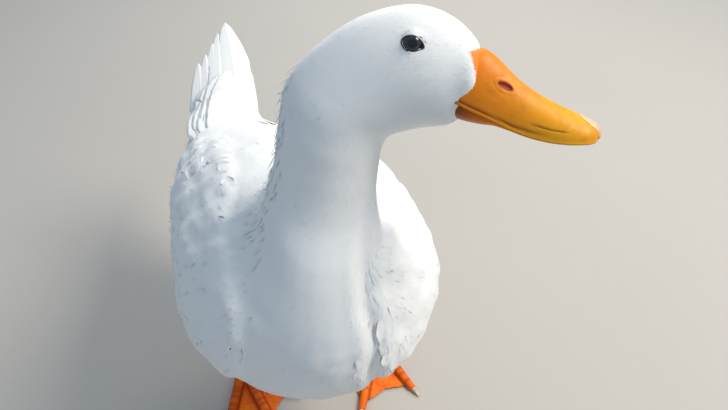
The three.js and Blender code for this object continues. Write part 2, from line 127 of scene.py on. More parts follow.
def object_from_arrays(name: str, points: Array, faces: Array) -> Piece:
    """A smooth-shaded mesh object from vertex places and faces of equal size.

    Args:
        name: the object's name.
        points: vertex places, one a row, in metres.
        faces: vertex numbers, one face a row.

    Returns:
        The new object, linked to the scene, at the origin.
    """
    mesh = bpy.data.meshes.new(name)
    mesh.vertices.add(len(points))
    mesh.vertices.foreach_set("co", np.ascontiguousarray(points, np.float32).ravel())
    sides = faces.shape[1]
    mesh.loops.add(faces.size)
    mesh.loops.foreach_set("vertex_index", np.ascontiguousarray(faces, np.int32).ravel())
    mesh.polygons.add(len(faces))
    mesh.polygons.foreach_set("loop_start", np.arange(0, faces.size, sides, dtype=np.int32))
    mesh.update(calc_edges=True)
    mesh.shade_smooth()
    piece = bpy.data.objects.new(name, mesh)
    bpy.context.scene.collection.objects.link(piece)
    return piece


def set_value(piece: Piece, name: str, values: Array) -> None:
    """Stores one number for each vertex, for the materials to read."""
    layer = piece.data.attributes.new(name, "FLOAT", "POINT")
    layer.data.foreach_set("value", np.ascontiguousarray(values, np.float32))


def set_map(piece: Piece, name: str, places: Array) -> None:
    """Stores a UV map given by one place for each vertex."""
    corners = np.empty(len(piece.data.loops), np.int32)
    piece.data.loops.foreach_get("vertex_index", corners)
    layer = piece.data.uv_layers.new(name=name)
    layer.uv.foreach_set("vector", np.ascontiguousarray(places[corners], np.float32).ravel())


def points_of(piece: Piece) -> Array:
    """The vertex places of an object as rows."""
    places = np.empty(len(piece.data.vertices) * 3, np.float32)
    piece.data.vertices.foreach_get("co", places)
    return places.reshape(-1, 3).astype(float)


def move_points(piece: Piece, points: Array) -> None:
    """Gives the vertices of an object new places."""
    piece.data.vertices.foreach_set("co", np.ascontiguousarray(points, np.float32).ravel())
    piece.data.update()


def normals_of(piece: Piece) -> Array:
    """The vertex normals of an object as rows."""
    normals = np.empty(len(piece.data.vertices) * 3, np.float32)
    piece.data.vertex_normals.foreach_get("vector", normals)
    return normals.reshape(-1, 3).astype(float)


def copy_of_nodes(name: str, nodes: tuple[str, ...]) -> Piece:
    """Copies CAD nodes into one new object with merged vertices.

    Args:
        name: the new object's name.
        nodes: the CAD nodes to copy.

    Returns:
        The new object; the nodes are left as they are.
    """
    joined = bmesh.new()
    for node in nodes:
        joined.from_mesh(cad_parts[node].data)
    bmesh.ops.remove_doubles(joined, verts=joined.verts, dist=1e-6)
    mesh = bpy.data.meshes.new(name)
    joined.to_mesh(mesh)
    joined.free()
    mesh.materials.clear()
    piece = bpy.data.objects.new(name, mesh)
    bpy.context.scene.collection.objects.link(piece)
    return piece


def apply_modifier(piece: Piece, kind: str, **settings: object) -> None:
    """Adds one modifier to an object with the given settings and applies it."""
    make_active(piece)
    modifier = piece.modifiers.new(kind.lower(), kind)
    for key, value in settings.items():
        setattr(modifier, key, value)
    bpy.ops.object.modifier_apply(modifier=modifier.name)


def remeshed(piece: Piece, voxel: float, rounds: int) -> Piece:
    """Turns closed shells into one even mesh and smooths its facets away.

    Args:
        piece: the object to change.
        voxel: the mesh width in metres.
        rounds: how many smoothing rounds follow.

    Returns:
        The same object.
    """
    apply_modifier(piece, "REMESH", mode="VOXEL", voxel_size=voxel)
    if rounds:
        apply_modifier(piece, "SMOOTH", factor=0.5, iterations=rounds)
    piece.data.shade_smooth()
    return piece


def turn_outward(piece: Piece) -> Piece:
    """Makes all faces of a closed object point outwards."""
    make_active(piece)
    bpy.ops.object.mode_set(mode="EDIT")
    bpy.ops.mesh.select_all(action="SELECT")
    bpy.ops.mesh.normals_make_consistent(inside=False)
    bpy.ops.object.mode_set(mode="OBJECT")
    return piece


def finish_piece(
    piece: Piece, material: Material, nodes: tuple[str, ...] = ()
) -> Piece:
    """Dresses a finished piece, seats it on the body and hides the CAD nodes it stands for.

    Args:
        piece: the piece to dress.
        material: its only material.
        nodes: the CAD nodes it stands for.

    Returns:
        The same piece.
    """
    piece.data.materials.clear()
    piece.data.materials.append(material)
    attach(piece, BODY)
    if nodes:
        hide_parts(*nodes)
    LOG.info("%s: %d faces", piece.name, len(piece.data.polygons))
    return piece


def smooth_line(rows: Array, places: Array) -> Array:
    """Reads a table of rows on a smooth curve through all of them.

    Args:
        rows: the values at whole places 0, 1, 2 and so on.
        places: where to read, in rows.

    Returns:
        One row of values for each place.
    """
    rows = np.asarray(rows, float)
    padded = np.vstack([2 * rows[0] - rows[1], rows, 2 * rows[-1] - rows[-2]])
    start = np.clip(np.floor(places).astype(int), 0, len(rows) - 2)
    part = (places - start)[:, None]
    before, here, after, beyond = (padded[start + step] for step in range(4))
    return 0.5 * (
        2 * here
        + (after - before) * part
        + (2 * before - 5 * here + 4 * after - beyond) * part**2
        + (3 * here - before - 3 * after + beyond) * part**3
    )


def capped_faces(rows: int, columns: int) -> Array:
    """The triangles between closed rings, and a fan over each end.

    Args:
        rows: how many rings there are.
        columns: how many points each ring has.

    Returns:
        The triangles; the fans' middles are the two points that follow the rings.
    """
    quads = tube_faces(rows, columns)
    side = np.arange(columns)
    beside = (side + 1) % columns
    first, last = rows * columns, rows * columns + 1
    end = (rows - 1) * columns
    fans = [
        np.stack([np.full(columns, first), beside, side], -1),
        np.stack([np.full(columns, last), end + side, end + beside], -1),
    ]
    return np.vstack([quads[:, [0, 1, 2]], quads[:, [0, 2, 3]], *fans])


def with_ends(rings: Array) -> Array:
    """The points of some rings as rows, followed by the middles of the first and last ring."""
    return np.vstack([rings.reshape(-1, 3), rings[0].mean(axis=0), rings[-1].mean(axis=0)])


def tube_faces(rows: int, columns: int) -> Array:
    """The quads between closed rings laid one after another."""
    row, column = np.meshgrid(np.arange(rows - 1), np.arange(columns), indexing="ij")
    here = row * columns + column
    beside = row * columns + (column + 1) % columns
    return np.stack([here, beside, beside + columns, here + columns], -1).reshape(-1, 4)


# --- the duck's frames


@dataclass(frozen=True)
class HeadPose:
    """How the head is held, and its own axes: forward to the bill's tip, left, and up.

    The angles are in degrees. The origin lies between the two CAD eyes, a little above them.
    """

    turn: float = 59.0
    dip: float = 6.0
    tilt: float = 20.0
    eye_up: float = -1.2

    def axes(self) -> Array:
        """The head's forward, left and up directions as rows.

        Returns:
            Three unit rows in the frame's x, y and z.
        """
        turn, dip, tilt = (math.radians(angle) for angle in (self.turn, self.dip, -self.tilt))
        about_up = np.array(
            [[math.cos(turn), -math.sin(turn), 0], [math.sin(turn), math.cos(turn), 0], [0, 0, 1]]
        )
        facing = np.array([[0, 1, 0], [-1, 0, 0], [0, 0, 1]], float)
        about_left = np.array(
            [[math.cos(dip), 0, math.sin(dip)], [0, 1, 0], [-math.sin(dip), 0, math.cos(dip)]]
        )
        about_forward = np.array(
            [[1, 0, 0], [0, math.cos(tilt), -math.sin(tilt)], [0, math.sin(tilt), math.cos(tilt)]]
        )
        return (about_up @ facing @ about_left @ about_forward).T

    def origin(self) -> Array:
        """The point between the eyes from which the head's measures run."""
        centres = [np.mean([np.array(corner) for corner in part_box(eye)], axis=0) for eye in EYES]
        return np.mean(centres, axis=0) - self.axes()[2] * self.eye_up * MM

    def place(self, measures: Array) -> Array:
        """Turns head measures in mm (forward, left, up) into places in metres."""
        return self.origin() + np.asarray(measures, float) @ self.axes() * MM

    def measure(self, points: Array) -> Array:
        """Turns places in metres into head measures in mm (forward, left, up)."""
        return (points - self.origin()) @ self.axes().T / MM


EYES = ("eye_right", "eye_left")
HEAD = HeadPose()


HEAD_IN_BODY = (89.5, 60.5, 408.0)


def body_origin() -> Array:
    """The point on the floor from which the body's measures run, found from the head."""
    return HEAD.origin() - body_direction(np.array(HEAD_IN_BODY)) * MM


def body_direction(measures: Array) -> Array:
    """Turns body measures (forward, left, up) into the frame's x, y and z."""
    measures = np.asarray(measures, float)
    return np.stack([measures[..., 1], -measures[..., 0], measures[..., 2]], -1)


def body_place(measures: Array) -> Array:
    """Turns body measures in mm (forward, left, up) into places in metres."""
    return body_origin() + body_direction(measures) * MM


def body_measure(points: Array) -> Array:
    """Turns places in metres into body measures in mm (forward, left, up)."""
    away = (points - body_origin()) / MM
    return np.stack([-away[:, 1], away[:, 0], away[:, 2]], -1)


# --- skin and the lie of the coat


def bill_corner(measures: Array, grown: float) -> Array:
    """Where the bill's horn runs back over the head in a corner at both sides, as a mask.

    Args:
        measures: places in the head's measures.
        grown: how far the mask reaches past the feather line, in mm.

    Returns:
        The mask, 1 on the horn.
    """
    forward, left, up = measures.T
    line = np.interp(up, (-20.0, -15.7, -12.0, -7.5, -3.0, 0.3), (34.0, 35.8, 35.2, 33.4, 30.7, 28.3))
    behind = smoothstep(forward - line + grown, -0.4, 0.4)
    below = smoothstep(0.3 + 0.3 * (forward - 28.3) - up + 0.6 * grown, -0.4, 0.4)
    return behind * below * smoothstep(np.abs(left), 3, 4.5) * smoothstep(up, -21, -18)


class Region(Enum):
    """The parts of the plumage, each with its own kind of feather."""

    HEAD = "head"
    NECK = "neck"
    BREAST = "breast"
    BACK = "back"
    FLANK = "flank"
    WING = "wing"
    THIGH = "thigh"


@dataclass
class Surface:
    """A smooth skin as arrays, along which a feather can be laid.

    Its points have outward normals, neighbours, the direction in which feathers lie, the coat's depth
    and a place on an unwrap of the skin: how far along the body, and the turn round it.
    """

    points: Array
    normals: Array
    neighbours: Array
    areas: Array
    lie: Array = field(default_factory=lambda: np.zeros((0, 3)))
    along: Array = field(default_factory=lambda: np.zeros(0))
    around: Array = field(default_factory=lambda: np.zeros(0))
    depth: Array = field(default_factory=lambda: np.zeros(0))
    shares: dict[Region, Array] = field(default_factory=dict)

    @classmethod
    def of(cls, piece: Piece) -> "Surface":
        """Reads points, normals, neighbours and areas from an object's mesh.

        Args:
            piece: the object to read.

        Returns:
            The surface, with no lie or depth yet.
        """
        mesh = piece.data
        points = points_of(piece)
        pairs = set()
        areas = np.zeros(len(points))
        for polygon in mesh.polygons:
            corners = list(polygon.vertices)
            areas[corners] += polygon.area / len(corners)
            for first in range(len(corners)):
                for second in range(first + 1, len(corners)):
                    pairs.add((corners[first], corners[second]))
        links = np.array(list(pairs), np.int64)
        links = np.vstack([links, links[:, ::-1]])
        links = links[np.argsort(links[:, 0], kind="stable")]
        counts = np.bincount(links[:, 0], minlength=len(points))
        starts = np.concatenate([[0], np.cumsum(counts)[:-1]])
        table = np.tile(np.arange(len(points))[:, None], (1, counts.max()))
        table[links[:, 0], np.arange(len(links)) - starts[links[:, 0]]] = links[:, 1]
        return cls(points, normals_of(piece), table, areas)

    def softened(self, values: Array, rounds: int) -> Array:
        """Averages values with their neighbours' a number of times."""
        for _ in range(rounds):
            values = 0.5 * values + 0.5 * values[self.neighbours].mean(axis=1)
        return values

    def nearest_on_walk(self, index: Array, targets: Array) -> Array:
        """Walks from skin points to the ones nearest to targets close by.

        Args:
            index: the skin points to start from.
            targets: the places sought.

        Returns:
            The nearest skin points.
        """
        for _ in range(8):
            choices = np.concatenate([index[:, None], self.neighbours[index]], axis=1)
            gaps = np.linalg.norm(self.points[choices] - targets[:, None], axis=2)
            best = choices[np.arange(len(index)), gaps.argmin(axis=1)]
            if (best == index).all():
                break
            index = best
        return index

    def slide(self, index: Array, places: Array, steps: Array) -> tuple[Array, Array]:
        """Moves places along the skin.

        Args:
            index: the skin point nearest to each place.
            places: where each one is.
            steps: how far and where to each one goes.

        Returns:
            The nearest skin points and the places after the step, back on the skin.
        """
        targets = places + steps
        index = self.nearest_on_walk(index, targets)
        normals = self.normals[index]
        above = np.einsum("ij,ij->i", targets - self.points[index], normals)
        return index, targets - normals * above[:, None]


@dataclass
class Skin:
    """The duck's skin under the coat, made from the CAD nodes of flesh, and the lie of its feathers."""

    flesh: tuple[str, ...] = (
        *("rump", "trunk", "neck_lower", "neck_upper", "head"),
        *("wing_left", "wing_right", "thigh_left", "thigh_right"),
    )
    voxel: float = 2.4 * MM
    coarse_voxel: float = 9.0 * MM
    smoothing: int = 7
    depths: dict[Region, float] = field(
        default_factory=lambda: {
            Region.HEAD: 0.28 * MM,
            Region.NECK: 0.42 * MM,
            Region.BREAST: 0.75 * MM,
            Region.BACK: 0.75 * MM,
            Region.FLANK: 0.8 * MM,
            Region.WING: 0.7 * MM,
            Region.THIGH: 1.1 * MM,
        }
    )
    lumps: dict[Region, float] = field(
        default_factory=lambda: {
            Region.BREAST: 0.8 * MM,
            Region.BACK: 0.9 * MM,
            Region.FLANK: 1.2 * MM,
            Region.WING: 1.5 * MM,
        }
    )
    fold_line: tuple[tuple[float, float, float], ...] = (
        (106, 31, 338),
        (113, 27, 316),
        (129, 21, 295),
        (139, 19, 278),
        (145, 18, 266),
        (152, 21, 252),
        (155, 21, 236),
        (155, 20, 216),
        (148, 22, 196),
        (134, 27, 174),
        (112, 34, 154),
    )
    fold_depth: float = 3.8 * MM
    fold_width: float = 4.4
    slices: int = 60

    def shell(self, name: str, voxel: float, rounds: int) -> Piece:
        """One closed mesh over the flesh and both eyes, out to the coat's tips."""
        return remeshed(copy_of_nodes(name, self.flesh + EYES), voxel, rounds)

    def flow_values(self, coarse: Surface) -> Array:
        """Settles a value that runs evenly over the skin from 0 at the bill to 1 at the tail.

        Args:
            coarse: the coarse skin.

        Returns:
            One value for each of its points.
        """
        head = HEAD.measure(coarse.points)
        body = body_measure(coarse.points)
        value = np.full(len(coarse.points), np.nan)
        value[head[:, 0] > 31] = 0.0
        value[body[:, 0] < -180] = 1.0
        free = np.isnan(value)
        number = len(value)
        system = np.zeros((number, number))
        rows = np.repeat(np.arange(number), coarse.neighbours.shape[1])
        columns = coarse.neighbours.ravel()
        linked = rows != columns
        system[rows[linked], columns[linked]] = -1.0
        system[np.arange(number), np.arange(number)] = -system.sum(axis=1)
        known = system[np.ix_(free, ~free)] @ value[~free]
        value[free] = np.linalg.solve(system[np.ix_(free, free)], -known)
        return value

    def spread(self, coarse: Surface, values: Array, fine: Surface) -> Array:
        """Carries values from the coarse skin over to the fine one.

        Args:
            coarse: the coarse skin.
            values: its values.
            fine: the fine skin.

        Returns:
            One value for each point of the fine skin.
        """
        tree = KDTree(len(coarse.points))
        for number, point in enumerate(coarse.points):
            tree.insert(point, number)
        tree.balance()
        carried = np.zeros(len(fine.points))
        for number, point in enumerate(fine.points):
            found = tree.find_n(point, 5)
            shares = np.array([1.0 / (gap * gap + 1e-7) for _, _, gap in found])
            carried[number] = shares @ values[[near for _, near, _ in found]] / shares.sum()
        return fine.softened(carried, 25)

    def slope(self, surface: Surface, values: Array) -> Array:
        """The direction along the skin in which values rise fastest."""
        away = surface.points[surface.neighbours] - surface.points[:, None]
        rise = values[surface.neighbours] - values[:, None]
        gaps = np.maximum(np.einsum("ijk,ijk->ij", away, away), 1e-12)
        upward = (away * (rise / gaps)[:, :, None]).sum(axis=1)
        upward -= surface.normals * np.einsum("ij,ij->i", upward, surface.normals)[:, None]
        return unit(upward)

    def shares_of(self, surface: Surface) -> dict[Region, Array]:
        """How much each skin point belongs to each region, softly, from the CAD nodes near it.

        Args:
            surface: the skin's points and what they hold.

        Returns:
            For each region one share, from 0 to 1, a point.
        """
        rows = {
            Region.HEAD: ("head",),
            Region.NECK: ("neck_upper", "neck_lower"),
            Region.WING: ("wing_left", "wing_right"),
            Region.THIGH: ("thigh_left", "thigh_right"),
            Region.BREAST: ("trunk", "rump"),
        }
        gaps = []
        for nodes in rows.values():
            joined = bmesh.new()
            for node in nodes:
                joined.from_mesh(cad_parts[node].data)
            tree = BVHTree.FromBMesh(joined)
            joined.free()
            gaps.append([tree.find_nearest(point, 0.5)[3] for point in surface.points])
        nearest = np.argmin(np.array(gaps), axis=0)
        found = {
            region: surface.softened((nearest == number).astype(float), 6)
            for number, region in enumerate(rows)
        }
        body = body_measure(surface.points)
        upper = smoothstep(surface.normals[:, 2], 0.2, 0.6)
        front = smoothstep(body[:, 0], -10, 40)
        trunk = found[Region.BREAST]
        found[Region.BACK] = trunk * upper * (1 - front)
        found[Region.FLANK] = trunk * (1 - upper) * (1 - front)
        found[Region.BREAST] = trunk * front
        return found

    def lay_down(self, surface: Surface) -> Array:
        """The lie of the feathers: along the flow on head and neck, back and down on the body.

        Args:
            surface: the skin's points and what they hold.

        Returns:
            One direction along the skin for each point.
        """
        wish = np.zeros_like(surface.points)
        front = smoothstep(body_measure(surface.points)[:, 0], 10, 110)[:, None]
        side_way, front_way = np.array([-1.0, 0.0, -0.4]), np.array([-0.5, 0.0, -1.0])
        heading = side_way * (1 - front) + front_way * front
        for region in (Region.BREAST, Region.FLANK, Region.WING):
            wish += surface.shares[region][:, None] * 3.0 * body_direction(heading)
        rows = (
            (Region.NECK, 1.6, (-0.3, -0.1, -1.0)),
            (Region.BACK, 1.5, (-1.0, -0.12, -0.1)),
            (Region.THIGH, 3.0, (-0.6, 0.0, -1.0)),
        )
        for region, weight, way in rows:
            wish += surface.shares[region][:, None] * weight * body_direction(np.array(way))
        wish -= surface.normals * np.einsum("ij,ij->i", wish, surface.normals)[:, None]
        lie = surface.softened(surface.lie + wish, 8)
        lie -= surface.normals * np.einsum("ij,ij->i", lie, surface.normals)[:, None]
        return unit(lie)

    def relief(self, surface: Surface) -> Array:
        """How far the skin rises or dips, in metres: soft lumps, and the fold beside the breast.

        Args:
            surface: the skin's points and what they hold.

        Returns:
            One rise for each point.
        """
        steps = 70
        line = smooth_line(np.array(self.fold_line), np.linspace(0, len(self.fold_line) - 1, steps))
        away = np.linalg.norm(body_measure(surface.points)[:, None] - line[None], axis=2)
        gap = away.min(axis=1) / self.fold_width
        place = away.argmin(axis=1) / (steps - 1)
        strength = smoothstep(place, 0.03, 0.3) * smoothstep(place, 1.0, 0.8)
        rise = 0.3 * np.exp(-((gap - 2.2) ** 2) / 0.8) - np.exp(-(gap**2))
        rise = rise * strength * self.fold_depth
        for region, height in self.lumps.items():
            wave = 0.7 * waves(surface.points, 42 * MM, 11) + 0.4 * waves(surface.points, 19 * MM, 12)
            rise += surface.shares[region] * height * wave
        return rise

    def turn_round(self, surface: Surface) -> Array:
        """The turn of each skin point round the body's long axis, from -0.5 to 0.5.

        Args:
            surface: the skin's points and what they hold.

        Returns:
            One turn for each point.
        """
        bins = np.clip((surface.along * self.slices).astype(int), 0, self.slices - 1)
        known = np.unique(bins)
        middles = np.array([surface.points[bins == number].mean(axis=0) for number in known])
        every = np.arange(self.slices)
        middles = np.stack([np.interp(every, known, middles[:, k]) for k in range(3)], 1)
        axis = unit(np.gradient(middles, axis=0))
        side = np.array([1.0, 0.0, 0.0]) - axis * axis[:, :1]
        side = unit(side)
        rise = np.cross(axis, side)
        away = surface.points - middles[bins]
        left = np.einsum("ij,ij->i", away, side[bins])
        up = np.einsum("ij,ij->i", away, rise[bins])
        return np.arctan2(left, up) / (2 * math.pi)

    def build(self) -> tuple[Piece, Surface]:
        """Makes the skin and the surface on which the coat lies.

        Returns:
            The skin object, with no material yet, and its surface.
        """
        rough = self.shell("coarse", self.coarse_voxel, 3)
        coarse = Surface.of(rough)
        bpy.data.objects.remove(rough)
        skin = self.shell("skin", self.voxel, self.smoothing)
        surface = Surface.of(skin)
        LOG.info("skin: %d points, coarse %d", len(surface.points), len(coarse.points))
        value = self.spread(coarse, self.flow_values(coarse), surface)
        order = value.argsort(kind="stable")
        surface.along = np.empty(len(order))
        surface.along[order] = np.cumsum(surface.areas[order]) / surface.areas.sum()
        surface.lie = self.slope(surface, value)
        surface.shares = self.shares_of(surface)
        surface.lie = self.lay_down(surface)
        total = sum(surface.shares.values())
        depth = sum(surface.shares[region] * self.depths[region] for region in self.depths) / total
        head = HEAD.measure(surface.points)
        # The coat thins towards the bill.
        depth *= 1 - 0.55 * smoothstep(head[:, 0], 12, 30) * surface.shares[Region.HEAD]
        surface.depth = surface.softened(depth, 10)
        surface.around = self.turn_round(surface)
        rise = self.relief(surface) - surface.depth
        # Inside the lids' opening the skin sinks behind the eyeball.
        rise -= 0.8 * MM * smoothstep(KeepOut(Eyes(), Bill()).eye_gap(head), 1.1, 0.9)
        surface.points = surface.points + surface.normals * rise[:, None]
        surface.points = self.cover_eyes(surface.softened(surface.points, 1), Eyes())
        move_points(skin, surface.points)
        surface.normals = unit(surface.softened(normals_of(skin), 2))
        # At 0.45 the skin gets none of the feathers' painted root shade.
        set_value(skin, "Along", np.full(len(surface.points), 0.45))
        set_value(skin, "Bare", bill_corner(HEAD.measure(surface.points), 1.0))
        return skin, surface

    def cover_eyes(self, points: Array, eyes: "Eyes") -> Array:
        """Lifts skin points that would lie inside an eyeball, outside the lids' opening, over it.

        Args:
            points: the skin's points.
            eyes: the eyeballs.

        Returns:
            The points, lifted.
        """
        measures = HEAD.measure(points)
        for sign in (1, -1):
            away = measures - eyes.centre(sign)
            gap = np.linalg.norm(away, axis=1)
            outside = smoothstep(np.hypot(away[:, 0] / 4.4, away[:, 2] / 3.3), 1.0, 1.25)
            inside = (gap < eyes.radius + 0.45) & (sign * away[:, 1] > 0)
            grown = np.where(inside, (eyes.radius + 0.45) / np.maximum(gap, 1.0), 1.0)
            measures += away * ((grown - 1) * outside)[:, None]
        return HEAD.place(measures)


# --- tufts and vanes


@dataclass(frozen=True)
class FeatherKind:
    """The size and stance of one kind of small feather, in mm and degrees.

    Lift says how many coat depths the tip rises above the skin; ragged, how much that varies.
    A feather with three columns is a sliver with a crest; with more it is a flat vane with a frayed tip.
    Wisps stand out from the coat and grow only on the nape's and the body's rear side.
    """

    length: float
    width: float
    spacing: float
    thick: float = 0.3
    lift: float = 0.9
    ragged: float = 0.15
    spread: float = 7.0
    columns: int = 3
    rows: int = 4
    fray: float = 0.0
    cup: float = 0.24
    wisp: bool = False

    @classmethod
    def vane(cls, length: float, width: float, spacing: float, lift: float, fray: float) -> "FeatherKind":
        """A broad flat feather under the slivers."""
        return cls(length, width, spacing, lift=lift, columns=5, fray=fray, cup=0.16)

    @classmethod
    def stray(
        cls, length: float, width: float, spacing: float, lift: float, ragged: float, spread: float
    ) -> "FeatherKind":
        """A thin wisp that stands out from the coat."""
        return cls(length, width, spacing, 0.16, lift, ragged, spread, wisp=True)


@dataclass(frozen=True)
class Template:
    """One small feather's own mesh: places along, across and above it, and its triangles."""

    along: Array
    across: Array
    above: Array
    tip: Array
    faces: Array

    @classmethod
    def sliver(cls, rows: int) -> "Template":
        """A thin closed sliver of three-sided rings that ends in a point.

        Args:
            rows: how many rings it has.

        Returns:
            The template.
        """
        at = np.linspace(0, 0.78, rows)
        broad = 0.5 + 0.5 * np.sin(np.clip(at / 0.42, 0, 1) * math.pi / 2) - 0.55 * smoothstep(at, 0.45, 1)
        along = np.append(np.repeat(at, 3), 1.0)
        across = np.append((broad[:, None] * np.array([1.0, 0.0, -1.0])).ravel(), 0.0)
        above = np.append(np.tile([0.0, 1.0, 0.0], rows), 0.2)
        quads = tube_faces(rows, 3)
        faces = [quads[:, [0, 1, 2]], quads[:, [0, 2, 3]], np.array([[0, 2, 1]])]
        last = 3 * (rows - 1)
        faces.append(np.array([[last + k, last + (k + 1) % 3, 3 * rows] for k in range(3)]))
        return cls(along, across, above, np.zeros(len(along)), np.vstack(faces))

    @classmethod
    def vane(cls, rows: int, columns: int) -> "Template":
        """A flat closed vane with a rounded end whose last row can be frayed.

        Args:
            rows: how many rows it has.
            columns: how many columns.

        Returns:
            The template.
        """
        at = np.linspace(0, 1, rows)[:, None]
        side = np.linspace(-1, 1, columns)[None, :]
        broad = 0.4 + 0.6 * smoothstep(at, 0, 0.45) - 0.22 * smoothstep(at, 0.7, 1)
        rounding = smoothstep(at, 0.5, 1) * 0.26 * side**2
        along = at - rounding + 0 * side
        across = broad * side
        above = np.tile(1 - side**2, (rows, 1)) * np.where((at == 0) | (at == 1), 0.0, 1.0)
        tip = np.where(at == 1, 1.0, 0.0) * np.where(np.arange(columns) % 2 == 1, 1.0, 0.25)
        top = np.arange(rows * columns).reshape(rows, columns)
        under = top.copy()
        inner = np.arange((rows - 2) * (columns - 2)).reshape(rows - 2, columns - 2)
        under[1:-1, 1:-1] = rows * columns + inner
        quads = [
            np.stack([top[:-1, :-1], top[1:, :-1], top[1:, 1:], top[:-1, 1:]], -1).reshape(-1, 4),
            np.stack([under[:-1, :-1], under[:-1, 1:], under[1:, 1:], under[1:, :-1]], -1).reshape(-1, 4),
        ]
        quads = np.vstack(quads)
        faces = np.vstack([quads[:, [0, 1, 2]], quads[:, [0, 2, 3]]])
        core = (slice(1, -1), slice(1, -1))

        def both(values: Array, sign: float = 1.0) -> Array:
            """The values of the upper side followed by those of the under side."""
            return np.concatenate([values.ravel(), sign * values[core].ravel()])

        return cls(both(along), both(across), both(above, -1.0), both(tip), faces)


@dataclass
class Coat:
    """Lays feathers of one kind on part of the skin and joins them into one mesh."""

    surface: Surface
    seed: int
    tries: int = 7
    cell_primes: tuple[int, int, int] = (73856093, 19349663, 83492791)
    patch: float = 0.003

    def roots(self, share: Array, kind: FeatherKind, rng: np.random.Generator) -> tuple[Array, Array]:
        """Picks root places spread evenly over a share of the skin.

        Args:
            share: how much of the coat each skin point gives to this kind.
            kind: the kind of feather, whose spacing is kept.
            rng: the random source.

        Returns:
            The nearest skin point of each root, and the roots' places.
        """
        surface = self.surface
        weights = surface.areas * np.clip(share, 0, 1)
        wanted = int(self.tries * weights.sum() / (kind.spacing * MM) ** 2)
        index = rng.choice(len(weights), wanted, p=weights / weights.sum())
        jitter = rng.normal(size=(wanted, 3)) * 1.3 * MM
        jitter -= surface.normals[index] * np.einsum("ij,ij->i", jitter, surface.normals[index])[:, None]
        index, places = surface.slide(index, surface.points[index], jitter)
        cells = np.floor(places / (kind.spacing * MM * 0.93)).astype(np.int64)
        keys = cells @ np.array(self.cell_primes)
        _, first = np.unique(keys, return_index=True)
        chosen = first[rng.random(len(first)) < np.clip(share[index[first]] * 1.5, 0, 1)]
        chosen = self.thinned(places, chosen, kind.spacing * MM * 0.72)
        return index[chosen], places[chosen]

    def thinned(self, places: Array, chosen: Array, gap: float) -> Array:
        """Drops roots that lie closer than gap to one already kept.

        Args:
            places: where the roots are.
            chosen: the roots to look through.
            gap: the least distance, in metres.

        Returns:
            The numbers of the kept roots.
        """
        kept: dict[tuple[int, int, int], list[int]] = {}
        good = []
        for number in chosen:
            point = places[number]
            cell = tuple(np.floor(point / gap).astype(int))
            close = (
                other
                for x in (-1, 0, 1)
                for y in (-1, 0, 1)
                for z in (-1, 0, 1)
                for other in kept.get((cell[0] + x, cell[1] + y, cell[2] + z), ())
            )
            if all(np.abs(places[other] - point).max() > gap for other in close):
                kept.setdefault(cell, []).append(number)
                good.append(number)
        return np.array(good, int)

    def paths(
        self, index: Array, places: Array, kind: FeatherKind, sizes: Array, rng: np.random.Generator
    ) -> tuple[Array, Array, Array]:
        """Follows the lie of the coat from each root.

        Args:
            index: the skin point of each root.
            places: the roots' places.
            kind: the kind of feather.
            sizes: each feather's size, about 1.
            rng: the random source.

        Returns:
            The skin places along each feather, the normals there, and the skin points.
        """
        surface = self.surface
        steps = 4
        turn = np.radians(rng.normal(size=len(index)) * kind.spread)
        reach = sizes * kind.length * MM / steps
        line, rises, under = [places], [surface.normals[index]], [index]
        for _ in range(steps):
            lie, normal = surface.lie[index], surface.normals[index]
            side = np.cross(normal, lie)
            heading = lie * np.cos(turn)[:, None] + side * np.sin(turn)[:, None]
            index, places = surface.slide(index, places, heading * reach[:, None])
            line.append(places)
            rises.append(surface.normals[index])
            under.append(index)
        return np.stack(line, 1), np.stack(rises, 1), np.stack(under, 1)

    def lay(self, name: str, share: Array, kind: FeatherKind, keep_out: "KeepOut | None") -> Piece:
        """Builds one coat piece.

        Args:
            name: the piece's name.
            share: how much of the coat each skin point gives to this kind.
            kind: the kind of feather.
            keep_out: says which feathers would cover bare parts.

        Returns:
            The new object, with its unwrap and values but no material.
        """
        rng = np.random.default_rng(SEED + self.seed)
        index, places = self.roots(share, kind, rng)
        sizes = rng.uniform(0.75, 1.25, len(index))
        if keep_out is not None:
            sizes *= keep_out.shortening(places)
        line, rises, under = self.paths(index, places, kind, sizes, rng)
        if keep_out is not None:
            clear = keep_out.clear(line)
            index, sizes, line, rises, under = (a[clear] for a in (index, sizes, line, rises, under))
        count = len(index)
        part = np.linspace(0, 1, line.shape[1])
        swell = 1 + 0.22 * waves(line[:, -1], 34 * MM, 3) + 0.16 * waves(line[:, -1], 15 * MM, 4)
        lift = kind.lift * swell * (1 + kind.ragged * rng.uniform(-1.5, 1.5, count))
        depths = self.surface.depth[under]
        dive = 0.08 if kind.wisp else 0.34
        # In coat depths: the root lies under the skin, and the tip dives a little again.
        rise = -0.25 + (1.25 * np.sin(part * math.pi / 2) ** 1.1 - dive * part**4)
        centres = line + rises * (depths * lift[:, None] * rise)[:, :, None]
        ahead = unit(np.gradient(centres, axis=1))
        roll = (rng.normal(size=count) * 0.06)[:, None, None]
        side = unit(np.cross(rises, ahead) + rises * roll)
        above = np.cross(ahead, side)
        template = (
            Template.sliver(kind.rows) if kind.columns == 3 else Template.vane(kind.rows, kind.columns)
        )
        reads = template.along * (len(part) - 1)
        start = np.clip(reads.astype(int), 0, len(part) - 2)
        share_after = (reads - start)[None, :, None]

        def read(values: Array) -> Array:
            """Values along the feathers' lines at every template vertex."""
            return values[:, start] * (1 - share_after) + values[:, start + 1] * share_after

